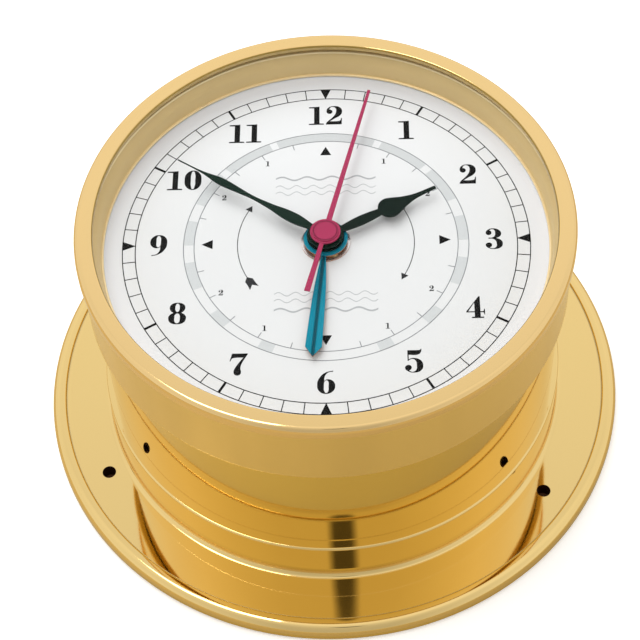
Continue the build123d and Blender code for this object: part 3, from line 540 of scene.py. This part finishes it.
def blue_paint(name):
    """The tide hand's paint, with painted shade along the crease down the blade and a bare cut edge."""
    base = colours().tide_blue
    finish, colour, rough, grain = pressed_paint(name, base, 0.3)
    across, along, _ = finish.axes((0.0, 0.0, math.radians(TIDE_HAND_ANGLE)))
    across = abs(across)
    blade = along > HUB_EDGE
    shade_in_crease = (1.0 - across.shaped(*CREASE_SHADE)) * blade
    cut = finish.axes()[2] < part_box("tide_hand")[1].z - PAINT_DEPTH
    rise = across.shaped(0.0, RISE) * blade
    # painted shade along the crease
    colour = finish.mixed(shade_in_crease * 0.85, colour, shaded(base, 0.16))
    colour = finish.mixed(cut, colour, BARE_EDGE)
    finish.join(finish.shader.inputs["Metallic"], cut * 0.9)
    return finish.made(colour, rough, rise + grain * 0.004, 0.5 * MM, 0.8)


def crimson_paint(name):
    """The second hand's paint, with painted shade in the ring that is pressed in its disc."""
    base = colours().second_red
    finish, colour, rough, grain = pressed_paint(name, base, 0.35)
    x, y, _ = finish.axes()
    # painted shade in the pressed ring
    groove_shade = 1.0 - abs(finish.distance(x, y) - DISC_GROOVE).shaped(*PRESSED_RING)
    colour = finish.mixed(groove_shade * 0.75, colour, shaded(base, 0.22))
    return finish.made(colour, rough, grain, 0.01 * MM, 0.35)


def plated_washer(name):
    """A bright plated washer whose cut edge shows the copper-coloured brass under the plating."""
    finish = Finish(name, Metallic=1.0)
    cut = finish.axes()[2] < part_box("centre_washer")[1].z - 0.05 * MM
    grain = finish.noise(900.0)
    plating = finish.mixed(grain, (0.93, 0.90, 0.90), (0.85, 0.80, 0.79))
    colour = finish.mixed(cut, plating, (0.55, 0.28, 0.16))
    return finish.made(colour, 0.22 + grain * 0.12, grain, 0.01 * MM, 0.3)


def ink(name, base):
    """Printing ink, matt and a little uneven."""
    finish = Finish(name, Specular_IOR_Level=0.08)
    grain = finish.noise(2200.0)
    colour = finish.mixed(grain, tuple(base), shaded(base, 1.15))
    return finish.made(colour, 0.5 + grain * 0.12)


FINISHES = {}


def finish_for(slot):
    """The material of one of the record's slots, made once, in place of the frame's plain one."""
    if slot in FINISHES:
        return FINISHES[slot]
    plain = bpy.data.materials.get(slot)
    if plain is not None:
        bpy.data.materials.remove(plain)
    makers = {
        "polished_brass": (polished_brass,),
        "flange_brass": (flange_brass,),
        "bezel_brass": (bezel_brass,),
        "satin_brass": (satin_brass,),
        "plain_brass": (plain_brass,),
        "plated_washer": (plated_washer,),
        "satin_aluminium": (brushed_metal, (0.80, 0.80, 0.81), (1.0, 1.0, 12.0), 0.3),
        "steel": (brushed_metal, (0.60, 0.60, 0.61), (14.0, 1.0, 1.0), 0.26),
        "black_rubber": (rubber, (0.012, 0.012, 0.012), (0.03, 0.03, 0.03), (0.0, 1.0), 0.62, 1800.0),
        "tan_rubber": (rubber, (0.42, 0.27, 0.12), (0.32, 0.20, 0.085), (0.35, 0.65), 0.7, 1500.0),
        "clear_glass": (clear_glass,),
        "white_enamel": (white_enamel,),
        "black_plastic": (moulded_plastic, (0.014, 0.014, 0.015), 0.4),
        "white_plastic": (moulded_plastic, (0.74, 0.73, 0.70), 0.35, 0.93),
        "green_board": (green_board,),
        "copper_wire": (copper_wire,),
        "battery_jacket": (battery_jacket,),
        "blue_paint": (blue_paint,),
        "crimson_paint": (crimson_paint,),
        "dark_green_paint": (green_paint, colours().hand_green),
        "hour_hand_paint": (green_paint, shaded(colours().hand_green, 0.55)),
        "black_ink": (ink, colours().ink),
        "grey_ink": (ink, colours().pale_ink),
        "grey_line_ink": (ink, (0.20, 0.21, 0.22)),
        "wave_ink": (ink, (0.38, 0.39, 0.40)),
        "soft_ink": (ink, (0.03, 0.03, 0.032)),
    }
    maker, *values = makers[slot]
    FINISHES[slot] = maker(slot, *values)
    return FINISHES[slot]


# Shapes

CLOSE = 1e-7      # corners nearer than this are one
ARC_STEP = 1.5    # degrees of an arc for each of its faces


def piece(name, shape, body, slot, material=None, smooth=None):
    """Makes an object from a finished bmesh, at the origin, and lets it ride on a body."""
    bmesh.ops.remove_doubles(shape, verts=shape.verts, dist=CLOSE)
    bmesh.ops.recalc_face_normals(shape, faces=shape.faces)
    mesh = bpy.data.meshes.new(name)
    shape.to_mesh(mesh)
    shape.free()
    if smooth is not None:
        mesh.shade_smooth()
        mesh.set_sharp_from_angle(angle=smooth)
    made = bpy.data.objects.new(name, mesh)
    bpy.context.scene.collection.objects.link(made)
    mesh.materials.append(finish_for(material or slot))
    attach(made, body)
    return made


def raised(shape, faces, height):
    """Gives flat faces a thickness, upwards."""
    grown = bmesh.ops.extrude_face_region(shape, geom=faces, use_keep_orig=True)
    tops = [item for item in grown["geom"] if isinstance(item, bmesh.types.BMVert)]
    bmesh.ops.translate(shape, verts=tops, vec=(0.0, 0.0, height))


def clock_turn(angle):
    """A turn clockwise from twelve, in degrees."""
    return Matrix.Rotation(-math.radians(angle), 4, "Z")


def flat_arc(shape, inner, outer, start, end, height=None):
    """A flat band of a ring between two angles, clockwise from twelve, on the dial."""
    full = abs(end - start) >= 360
    steps = max(1, round(abs(end - start) / ARC_STEP))
    low = shape.verts.new(clock_turn(start) @ Vector((0.0, inner, DIAL_TOP)))
    high = shape.verts.new(clock_turn(start) @ Vector((0.0, outer, DIAL_TOP)))
    edge = shape.edges.new((low, high))
    before = set(shape.faces)
    bmesh.ops.spin(
        shape, geom=[low, high, edge], axis=(0.0, 0.0, 1.0),
        angle=-math.radians(end - start), steps=steps, use_merge=full,
    )
    faces = [face for face in shape.faces if face not in before]
    raised(shape, faces, sizes().print_height if height is None else height)


def flat_bar(shape, inner, outer, width, angle):
    """A straight printed line along a radius."""
    length = outer - inner
    move = (
        clock_turn(angle)
        @ Matrix.Translation((0.0, (inner + outer) / 2, DIAL_TOP + sizes().print_height / 2))
        @ Matrix.Diagonal((width, length, sizes().print_height, 1.0))
    )
    bmesh.ops.create_cube(shape, size=1.0, matrix=move)


def printed(shape, corners):
    """Gives the flat faces that meet at these corners the thickness of the print."""
    raised(shape, list({face for corner in corners for face in corner.link_faces}), sizes().print_height)


def triangle(shape, place, length, half_width):
    """A printed triangle with its middle at a place, whose tip points up the place's Y."""
    corners = bmesh.ops.create_circle(shape, cap_ends=True, radius=1.0, segments=3)["verts"]
    # one in a circle of radius 1 is twice cos 30 wide and 1.5 long
    fit = Matrix.Diagonal((half_width / math.cos(math.radians(30)), length / 1.5, 1.0, 1.0))
    bmesh.ops.transform(shape, matrix=place @ fit, verts=corners)
    printed(shape, corners)


def flat_triangle(shape, base, tip, half_width, angle):
    """A printed triangle that points along a radius, from its base to its tip."""
    middle = base + (tip - base) / 3
    place = clock_turn(angle) @ Matrix.Translation((0.0, middle, DIAL_TOP))
    triangle(shape, place, tip - base, half_width)


def wave_line(shape, middle, length, swell, crests, width):
    """A printed wavy line across the dial."""
    strip = bmesh.ops.create_grid(shape, x_segments=12 * crests, y_segments=1, size=0.5)["verts"]
    for point in strip:
        rise = swell * math.sin(2 * math.pi * crests * point.co.x)
        point.co = Vector((point.co.x * length, point.co.y * width + rise + middle, DIAL_TOP))
    printed(shape, strip)


def on_arc(angle, reach):
    """A place on the dial whose Y points clockwise along a circle."""
    return clock_turn(angle) @ Matrix.Translation((0.0, reach, DIAL_TOP)) @ clock_turn(90)


def arrow_head(shape, reach, angle, length, half_width):
    """A solid printed head on the end of an arc that runs clockwise."""
    place = on_arc(angle, reach) @ Matrix.Translation((0.0, length / 6, 0.0))
    triangle(shape, place, length, half_width)


# Corners of an arrow's feather: across in half widths, along in lengths
FEATHER = (
    (0.0, 0.25), (1.0, -0.1), (1.0, -0.62), (1.15, -1.0),
    (0.0, -0.62), (-1.15, -1.0), (-1.0, -0.62), (-1.0, -0.1),
)


def arrow_tail(shape, reach, angle, length, half_width):
    """A printed feather behind the start of an arc that runs clockwise."""
    place = on_arc(angle, reach)
    made = [shape.verts.new(place @ Vector((x * half_width, y * length, 0.0))) for x, y in FEATHER]
    raised(shape, [shape.faces.new(made)], sizes().print_height)


SHELL_STEPS = 288        # faces round a shell
ROUND_STEPS = 10         # faces across a rounded corner
HOLE_SIDES = 48
SHARP_EDGE = math.radians(35)

# The four brass shells: the node that each stands for, its body, its finish and its outline, as the radius,
# height and round of each corner in millimetres. The reflector's ends 0.08 mm under the glass, so that the
# two have no faces in one plane.
SHELLS = (
    ("flange_shell", "mounting_flange", "wall_plate", "flange_brass", (
        (64.0, 0.0, 0), (90.0, 0.0, 1.2), (90.0, 5.6, 2.9), (85.6, 5.6, 0.3), (85.6, 5.0, 0.28),
        (70.8, 5.0, 1.8), (70.8, 20.3, 0.7), (67.0, 20.3, 0), (67.0, 13.0, 0), (69.0, 13.0, 0),
        (69.0, 9.0, 0), (67.0, 9.0, 0), (67.0, 2.0, 0), (64.0, 2.0, 0),
    )),
    ("drum_shell", "case_drum", "case", "polished_brass", (
        (65.1, 3.3, 0), (66.7, 3.3, 0), (66.7, 20.3, 0), (69.0, 20.3, 0), (69.0, 81.6, 0),
        (67.4, 81.6, 0), (67.4, 21.9, 0), (65.1, 21.9, 0),
    )),
    ("bezel_shell", "bezel_ring", "bezel", "bezel_brass", (
        (66.3, 85.8, 0), (66.3, 87.4, 0.6), (71.8, 87.4, 1.8), (71.8, 83.8, 0), (71.0, 83.8, 0),
        (71.0, 61.9, 0.5), (69.3, 61.9, 0), (69.3, 81.6, 0), (68.3, 81.6, 0), (68.3, 85.8, 0),
    )),
    ("reflector_shell", "reflector_ring", "bezel", "satin_brass", (
        (64.4, 75.9, 0), (66.9, 75.9, 0), (66.9, 81.9, 0), (68.25, 81.9, 0), (68.25, 83.42, 0),
        (67.55, 83.42, 0), (65.9, 81.9, 2.0), (64.9, 76.5, 0), (64.4, 76.5, 0.2),
    )),
)


def turned_shell(corners):
    """A ring turned from its outline, with rounded corners, as a bmesh."""
    shape = bmesh.new()
    points = [shape.verts.new((radius * MM, 0.0, height * MM)) for radius, height, _ in corners]
    shape.faces.new(points)
    for point, (_, _, rounding) in zip(points, corners):
        if rounding:
            bmesh.ops.bevel(
                shape, geom=[point], offset=rounding * MM, offset_type="OFFSET", segments=ROUND_STEPS,
                profile=0.5, affect="VERTICES", material=-1,
            )
    bmesh.ops.delete(shape, geom=list(shape.faces), context="FACES_ONLY")
    bmesh.ops.spin(
        shape, geom=list(shape.verts) + list(shape.edges), axis=(0.0, 0.0, 1.0),
        angle=2 * math.pi, steps=SHELL_STEPS, use_merge=True,
    )
    bmesh.ops.remove_doubles(shape, verts=shape.verts, dist=CLOSE)
    bmesh.ops.recalc_face_normals(shape, faces=shape.faces)
    return shape


def drilled(shape, places, radius, low, high):
    """The same shape with upright holes through it."""
    rods = bmesh.new()
    for x, y in places:
        bmesh.ops.create_cone(
            rods, cap_ends=True, segments=HOLE_SIDES, radius1=radius, radius2=radius, depth=high - low,
            matrix=Matrix.Translation((x, y, (low + high) / 2)),
        )
    made = []
    for name, part in (("stock", shape), ("rods", rods)):
        mesh = bpy.data.meshes.new(name)
        part.to_mesh(mesh)
        part.free()
        made.append(bpy.data.objects.new(name, mesh))
        bpy.context.scene.collection.objects.link(made[-1])
    cut = made[0].modifiers.new("holes", "BOOLEAN")
    cut.operation, cut.solver, cut.object = "DIFFERENCE", "EXACT", made[1]
    bpy.context.view_layer.update()
    result = bmesh.new()
    result.from_object(made[0], bpy.context.evaluated_depsgraph_get())
    for thing in made:
        mesh = thing.data
        bpy.data.objects.remove(thing)
        bpy.data.meshes.remove(mesh)
    return result


# Numerals: each one's width and closed outlines, in thousandths of the height, with "c" before a corner and
# nothing before a smooth point
NUMERALS = {
    "0": (690, (
        "345,1010 600,870 690,500 600,130 345,-10 90,130 0,500 90,870",
        "345,965 420,820 435,500 420,180 345,35 270,180 255,500 270,820",
    )),
    "1": (620, (
        "c0,0 c620,0 c620,58 c440,70 c440,1000 c370,985 c0,975 c0,917 c215,905 c215,70 c0,58",
    )),
    "2": (680, (
        "c0,0 c655,0 c670,345 c635,345 600,215 500,180 c160,175 360,320 600,500 680,710 590,930"
        " 345,1010 110,930 30,750 60,630 155,585 250,630 275,715 235,790 c140,830 200,940 310,965"
        " 410,890 430,710 360,500 200,300 50,140 c0,50",
    )),
    "3": (680, (
        "30,790 110,940 330,1010 550,930 640,760 570,600 c430,527 610,430 680,250 590,60 320,-20 90,50"
        " 0,180 45,270 130,305 225,265 250,180 205,95 c150,65 210,30 300,20 410,90 440,250 390,420"
        " 270,495 c130,497 c130,550 270,553 375,630 400,770 375,920 290,970 c170,925 235,870 255,790"
        " 225,715 145,680 60,715",
    )),
    "4": (720, (
        "c0,270 c324,270 c324,65 c205,55 c205,0 c680,0 c680,55 c548,65 c548,270 c655,270 675,240"
        " c690,160 c720,160 c720,430 c690,430 675,345 c655,318 c548,318 c548,1030 c500,1030 c0,315",
        "c75,318 c324,318 c324,735",
    )),
    "5": (690, (
        "c105,1000 c500,1000 580,1015 c615,1060 c645,1055 610,890 510,800 c150,795 c145,585 230,630"
        " 350,645 600,540 690,310 600,70 330,-20 90,60 0,200 45,295 130,330 225,290 250,205 205,115"
        " c150,85 210,35 310,20 420,100 450,310 405,530 300,600 190,570 c125,510 c105,515",
    )),
    "6": (680, (
        "c605,1030 320,950 90,720 0,420 80,110 335,-10 590,100 680,330 600,560 420,645 330,625 c262,575"
        " 300,800 420,945 c605,985",
        "350,600 415,550 430,330 410,90 345,30 280,90 255,330 285,550",
    )),
    "7": (690, (
        "c90,1000 c690,1000 c690,965 530,680 435,440 420,310 450,150 410,40 310,0 210,40 165,140"
        " 190,280 300,490 c520,815 220,810 100,780 c35,655 c0,655",
    )),
    "8": (690, (
        "345,1010 570,940 650,770 590,610 c500,535 640,430 690,270 590,60 345,-10 100,60 0,270 50,430"
        " c190,535 100,610 40,770 120,940",
        "345,970 410,910 430,770 410,630 345,570 280,630 260,770 280,910",
        "345,500 430,440 452,270 430,100 345,35 260,100 238,270 260,440",
    )),
}
NUMERAL_SPACE = 85      # between two digits
NINE_TURN = 1020        # the 9 is a 6 turned upside down within this height


def outline_points(text):
    """The points of one outline as (whether a corner, x, y)."""
    return [(point[0] == "c", *map(int, point.lstrip("c").split(","))) for point in text.split()]


def digit_outlines(digit):
    """The width of a digit, and its outlines as lists of (whether a corner, x, y)."""
    if digit == "9":
        width, loops = digit_outlines("6")
        return width, [[(corner, width - x, NINE_TURN - y) for corner, x, y in loop] for loop in loops]
    width, texts = NUMERALS[digit]
    return width, [outline_points(text) for text in texts]


def number_shape(shape, text, height, at, thickness):
    """Adds a number to a bmesh, upright and centred at a place on the dial."""
    scale = height / 1000
    widths = [digit_outlines(digit)[0] for digit in text]
    left = -(sum(widths) + NUMERAL_SPACE * (len(text) - 1)) / 2
    for digit, width in zip(text, widths):
        curve = bpy.data.curves.new("digit", "CURVE")
        curve.dimensions = "2D"
        curve.fill_mode = "BOTH"
        curve.extrude = thickness / 2
        curve.resolution_u = 7
        for loop in digit_outlines(digit)[1]:
            line = curve.splines.new("BEZIER")
            line.bezier_points.add(len(loop) - 1)
            line.use_cyclic_u = True
            for point, (corner, x, y) in zip(line.bezier_points, loop):
                point.co = ((left + x) * scale, (y - 500) * scale, 0.0)
                point.handle_left_type = point.handle_right_type = "VECTOR" if corner else "AUTO"
        carrier = bpy.data.objects.new("digit", curve)
        bpy.context.scene.collection.objects.link(carrier)
        bpy.context.view_layer.update()
        mesh = bpy.data.meshes.new_from_object(carrier.evaluated_get(bpy.context.evaluated_depsgraph_get()))
        mesh.transform(Matrix.Translation((at[0], at[1], DIAL_TOP + thickness / 2)))
        shape.from_mesh(mesh)
        bpy.data.objects.remove(carrier)
        bpy.data.curves.remove(curve)
        bpy.data.meshes.remove(mesh)
        left += width + NUMERAL_SPACE


def on_dial(angle, radius):
    """The (x, y) place at an angle clockwise from twelve."""
    spot = clock_turn(angle) @ Vector((0.0, radius, 0.0))
    return spot.x, spot.y


# Places of the dial's print, in shares of the minute track's radius
TRACK_INSIDE = 0.937
TRIANGLE_PAST = 0.004          # how far a quarter's triangle passes the track's inner line
TRIANGLE_HALF_WIDTH = 0.028
TIDE_OUTSIDE = 0.70
TIDE_INSIDE = 0.648
TICK_END = 0.613
COUNT_CIRCLE = 0.585
TIDE_TRIANGLE = (0.555, 0.61)
ARROW_CIRCLE = 0.433
WAVE_LENGTH = 0.50
WAVE_SWELL = 0.011
# Wavy lines over and under the hands' hubs: place up the dial, crests, and thickness in tide lines
WAVES = (
    (0.405, 4, 2.4), (0.350, 6, 1.0), (0.310, 6, 1.0),
    (-0.405, 4, 2.4), (-0.350, 6, 1.0), (-0.310, 6, 1.0),
)
TIDE_LINE = 0.8                # the tide ring's lines, in fine lines
FIELD_GAP = 0.25               # between a grey field and its lines, in tide lines
FIELD_HEIGHT = 0.8             # the grey fields lie lower than the rest of the print
# Grey fields in degrees from twelve: the one at the top, and those that stand on both sides
TOP_FIELD = (-21.2, 21.2)
SIDE_FIELDS = ((24.3, 46.5), (50.2, 68.3), (77.4, 90.2), (99.2, 113.2), (127.2, 135.4), (152.2, 158.5))
COUNTS = ((30, "1"), (60, "2"), (120, "2"), (150, "1"))
ARROWS = (("falling_arrow", 62, 119), ("rising_arrow", 240, 299))
ARROW_HEAD = (2.1 * MM, 1.15 * MM)    # length and half width
ARROW_TAIL = (3.6 * MM, 1.25 * MM)

# The studio

CAMERA_LENS = 105.48           # for a sensor 36 wide
CAMERA_PLACE = (0.013453, -0.331291, 0.506537)
CAMERA_RIGHT = (0.9993831, 0.0, -0.0351192)
CAMERA_DOWN = (-0.0202245, -0.8175332, -0.5755263)
CAMERA_FORWARD = (-0.0287111, 0.5758815, -0.8170289)
# Brightness at degrees from the floor behind the clock, over its top, to the floor before it
SKY = (
    (0, 1.0), (50, 1.0), (62, 0.86), (74, 0.98), (92, 1.0),
    (108, 0.78), (130, 0.62), (155, 0.58), (180, 0.58),
)
SIDE_LIGHT = (0.92, 0.92, 0.92)
DARK_SPOT = (0.0244, -0.473, 0.881)    # towards the unlit place where the camera stands
DARK_SPOT_EDGE = (math.cos(math.radians(4.0)), math.cos(math.radians(1.8)))
DARK_SPOT_LIGHT = (0.09, 0.09, 0.09)
MIRRORED_FLOOR = (0.50, 0.405, 0.21)   # the floor as the brass mirrors it
MIRRORED_GLOW = (0.33, 0.32, 0.30)
HOLE_SHADE_FLOOR = (0.05, 0.03, 0.012)       # painted shade on the floor under the screw holes
HOLE_SHADE_GLOW = (0.06, 0.02, 0.01)
PANELS = (    # name, place, side, power, and whether the brass mirrors it
    ("back_panel", (-0.35, 0.85, 1.0), 0.9, 9.0, False),
    ("top_panel", (-0.30, 0.05, 1.1), 0.32, 1.6, True),
)


def fitted_camera(scene):
    """The camera, fitted to the photograph's ellipses of the dial, the bezel and the flange."""
    lens = bpy.data.cameras.new("camera")
    lens.sensor_width = 36.0
    lens.lens = CAMERA_LENS
    lens.clip_start, lens.clip_end = 0.02, 20.0
    camera = bpy.data.objects.new("camera", lens)
    axes = (Vector(CAMERA_RIGHT), -Vector(CAMERA_DOWN), -Vector(CAMERA_FORWARD))
    camera.matrix_world = Matrix.Translation(CAMERA_PLACE) @ Matrix(axes).transposed().to_4x4()
    scene.collection.objects.link(camera)
    scene.camera = camera


def studio_room(scene):
    """The bright room round the clock, darker before it, with a small unlit spot."""
    world = bpy.data.worlds.new("studio")
    world.use_nodes = True
    sky = Nodes(world.node_tree)
    direction = sky.node("ShaderNodeTexCoord", result="Generated")
    x, y, z = sky.split(direction)
    turn = z.maths("ARCTAN2", z, y) * (1 / math.pi)
    stops = [(at / 180, (light, light, light)) for at, light in SKY]
    room = sky.node("ShaderNodeValToRGB", {"stops": stops}, {"Fac": turn})
    light = sky.mixed(abs(x).shaped(0.25, 0.85), room, SIDE_LIGHT)
    near = sky.node(
        "ShaderNodeVectorMath", {"operation": "DOT_PRODUCT"}, {0: direction, 1: DARK_SPOT}, result="Value"
    )
    light = sky.mixed(near.shaped(*DARK_SPOT_EDGE), light, DARK_SPOT_LIGHT)
    background = sky.node("ShaderNodeBackground", {}, {"Color": light})
    sky.node("ShaderNodeOutputWorld", {}, {"Surface": background})
    scene.world = world
    scene.view_settings.view_transform = "Standard"


def pale_floor(scene):
    """The floor: white in sight, tan where the brass mirrors it, and painted shade under the screw holes.
    """
    shape = bmesh.new()
    under_clock = Matrix.Translation((0.0, 0.0, -0.02 * MM))
    bmesh.ops.create_grid(shape, x_segments=1, y_segments=1, size=3.0, matrix=under_clock)
    mesh = bpy.data.meshes.new("floor")
    shape.to_mesh(mesh)
    shape.free()
    floor = bpy.data.objects.new("floor", mesh)
    scene.collection.objects.link(floor)
    finish = Finish("floor", Emission_Strength=0.3)
    mirrored = finish.node("ShaderNodeLightPath", result="Is Glossy Ray")
    pale = finish.mixed(finish.noise(3.0), (0.97, 0.97, 0.97), (0.955, 0.955, 0.955))
    colour = finish.mixed(mirrored, pale, MIRRORED_FLOOR)
    glow = finish.mixed(mirrored, (1.0, 1.0, 1.0), MIRRORED_GLOW)
    x, y, _ = finish.axes()
    # painted shade under the screw holes
    for hole in SCREWS:
        hole_shade = finish.distance(x - hole[0], y - hole[1]) < SCREW_HOLE + 0.2 * MM
        colour = finish.mixed(hole_shade, colour, HOLE_SHADE_FLOOR)
        glow = finish.mixed(hole_shade, glow, HOLE_SHADE_GLOW)
    finish.join(finish.shader.inputs["Emission Color"], glow)
    mesh.materials.append(finish.made(colour, 0.9 + finish.noise(40.0) * 0.05))


def soft_panels(scene):
    """The soft lights, turned towards the clock."""
    for name, place, side, power, mirrored in PANELS:
        panel = bpy.data.lights.new(name, "AREA")
        panel.shape = "SQUARE"
        panel.size = side
        panel.energy = power
        light = bpy.data.objects.new(name, panel)
        turn = (Vector((0.0, 0.0, 0.05)) - Vector(place)).to_track_quat("-Z", "Y").to_matrix()
        light.matrix_world = Matrix.Translation(place) @ turn.to_4x4()
        light.visible_glossy = mirrored
        scene.collection.objects.link(light)


# Operators, one for each piece or group of like pieces


class TIDECLOCK_OT_stage(bpy.types.Operator):
    """The pale floor, the soft lights and the camera at the photograph's angle"""

    bl_idname = "tideclock.stage"
    bl_label = "Stage"

    def execute(self, context):
        fitted_camera(context.scene)
        studio_room(context.scene)
        pale_floor(context.scene)
        soft_panels(context.scene)
        return {"FINISHED"}


class TIDECLOCK_OT_finishes(bpy.types.Operator):
    """The finishes of the pieces that keep their own shape"""

    bl_idname = "tideclock.finishes"
    bl_label = "Finishes"

    def execute(self, context):
        own = {
            "glass_gasket": "tan_rubber", "centre_washer": "plated_washer", "hour_hand": "hour_hand_paint",
        }
        for node, made in frame["nodes"].items():
            made.data.materials.clear()
            made.data.materials.append(finish_for(own.get(node, SLOTS[node])))
        return {"FINISHED"}


class TIDECLOCK_OT_shells(bpy.types.Operator):
    """The wall flange, drum, bezel and reflector ring, turned finely enough to mirror without facets"""

    bl_idname = "tideclock.shells"
    bl_label = "Brass shells"

    def execute(self, context):
        for name, node, body, material, corners in SHELLS:
            shape = turned_shell(corners)
            if node == "mounting_flange":
                shape = drilled(shape, SCREWS, SCREW_HOLE, -1.0 * MM, 8.0 * MM)
            made = piece(name, shape, body, "polished_brass", material, SHARP_EDGE)
            even = made.modifiers.new("even_normals", "WEIGHTED_NORMAL")
            even.keep_sharp = True
            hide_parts(node)
        return {"FINISHED"}


class TIDECLOCK_OT_minute_track(bpy.types.Operator):
    """The minute track: two circles, a line for each minute and a triangle at each quarter"""

    bl_idname = "tideclock.minute_track"
    bl_label = "Minute track"

    def execute(self, context):
        size = sizes()
        outer = size.track_radius
        inner = outer * TRACK_INSIDE
        track = bmesh.new()
        flat_arc(track, outer - size.line_width, outer, 0, 360)
        flat_arc(track, inner - size.line_width, inner, 0, 360)
        piece("minute_circles", track, "case", "black_plastic", "black_ink")
        lines = bmesh.new()
        for minute in range(60):
            if minute % 15:
                width = size.hour_line_width if minute % 5 == 0 else size.line_width
                flat_bar(lines, inner - size.line_width / 2, outer - size.line_width / 2, width, minute * 6)
        piece("minute_lines", lines, "case", "black_plastic", "black_ink")
        marks = bmesh.new()
        for angle in (0, 90, 180, 270):
            tip = inner - TRIANGLE_PAST * outer
            flat_triangle(marks, outer, tip, TRIANGLE_HALF_WIDTH * outer, angle)
        piece("quarter_triangles", marks, "case", "black_plastic", "black_ink")
        return {"FINISHED"}


class TIDECLOCK_OT_numerals(bpy.types.Operator):
    """The twelve hour numerals, upright, in a fat-faced cut"""

    bl_idname = "tideclock.numerals"
    bl_label = "Hour numerals"

    def execute(self, context):
        size = sizes()
        for hour in range(1, 13):
            shape = bmesh.new()
            spot = on_dial(hour * 30, size.numeral_radius)
            number_shape(shape, str(hour), size.numeral_height, spot, size.print_height)
            piece(f"numeral_{hour}", shape, "case", "black_plastic", "black_ink")
        return {"FINISHED"}


class TIDECLOCK_OT_tide_ring(bpy.types.Operator):
    """The tide ring: its circles, grey fields, hour ticks, counts, triangles and arrows"""

    bl_idname = "tideclock.tide_ring"
    bl_label = "Tide ring"

    def execute(self, context):
        size = sizes()
        unit = size.track_radius
        outer, inner = TIDE_OUTSIDE * unit, TIDE_INSIDE * unit
        line = size.line_width * TIDE_LINE
        circles = bmesh.new()
        flat_arc(circles, outer - line, outer, 0, 360)
        flat_arc(circles, inner - line, inner, 0, 360)
        piece("tide_circles", circles, "case", "white_plastic", "grey_line_ink")

        fields = bmesh.new()
        gap = line * FIELD_GAP
        both_sides = [(side * start, side * end) for start, end in SIDE_FIELDS for side in (1, -1)]
        for start, end in [TOP_FIELD, *both_sides]:
            height = size.print_height * FIELD_HEIGHT
            flat_arc(fields, inner + gap, outer - line - gap, start, end, height)
        piece("tide_fields", fields, "case", "white_plastic", "grey_ink")

        ticks = bmesh.new()
        for step in range(24):
            if step % 6:
                flat_bar(ticks, TICK_END * unit, inner - line / 2, line, step * 15)
        piece("tide_ticks", ticks, "case", "white_plastic", "grey_line_ink")

        counts = bmesh.new()
        for angle, text in COUNTS:
            for side in (1, -1):
                spot = on_dial(side * angle, COUNT_CIRCLE * unit)
                number_shape(counts, text, size.count_height, spot, size.print_height)
        piece("tide_counts", counts, "case", "black_plastic", "black_ink")

        marks = bmesh.new()
        base, tip = TIDE_TRIANGLE
        for angle in (0, 90, 180, 270):
            flat_triangle(marks, base * unit, tip * unit, TRIANGLE_HALF_WIDTH * unit, angle)
        piece("tide_triangles", marks, "case", "black_plastic", "black_ink")

        waves = bmesh.new()
        for middle, crests, thick in WAVES:
            wave_line(waves, middle * unit, WAVE_LENGTH * unit, WAVE_SWELL * unit, crests, thick * line)
        piece("tide_waves", waves, "case", "white_plastic", "wave_ink")

        reach = ARROW_CIRCLE * unit
        for name, start, end in ARROWS:
            arrow = bmesh.new()
            flat_arc(arrow, reach - line / 2, reach + line / 2, start, end)
            arrow_head(arrow, reach, end, *ARROW_HEAD)
            arrow_tail(arrow, reach, start, *ARROW_TAIL)
            piece(name, arrow, "case", "black_plastic", "soft_ink")
        return {"FINISHED"}


OPERATORS = (
    TIDECLOCK_OT_stage,
    TIDECLOCK_OT_finishes,
    TIDECLOCK_OT_shells,
    TIDECLOCK_OT_minute_track,
    TIDECLOCK_OT_numerals,
    TIDECLOCK_OT_tide_ring,
)


class TIDECLOCK_PT_panel(bpy.types.Panel):
    """Lists the sizes, the colours and the pieces"""

    bl_idname = "TIDECLOCK_PT_panel"
    bl_label = "Tide clock"
    bl_space_type = "VIEW_3D"
    bl_region_type = "UI"
    bl_category = "Tide clock"

    def draw(self, context):
        for group in (sizes(), colours()):
            box = self.layout.box()
            for name in group.bl_rna.properties.keys():
                if name not in ("rna_type", "name"):
                    box.prop(group, name)
        column = self.layout.column(align=True)
        for operator in OPERATORS:
            column.operator(operator.bl_idname)


CLASSES = (TideClockSizes, TideClockColours, *OPERATORS, TIDECLOCK_PT_panel)


def register():
    for made in CLASSES:
        bpy.utils.register_class(made)
    bpy.types.Scene.tide_clock_sizes = PointerProperty(type=TideClockSizes)
    bpy.types.Scene.tide_clock_colours = PointerProperty(type=TideClockColours)


def unregister():
    del bpy.types.Scene.tide_clock_sizes
    del bpy.types.Scene.tide_clock_colours
    for made in reversed(CLASSES):
        bpy.utils.unregister_class(made)


def main():
    register()
    for operator in OPERATORS:
        group, name = operator.bl_idname.split(".")
        getattr(getattr(bpy.ops, group), name)()


if __name__ == "__main__":
    main()
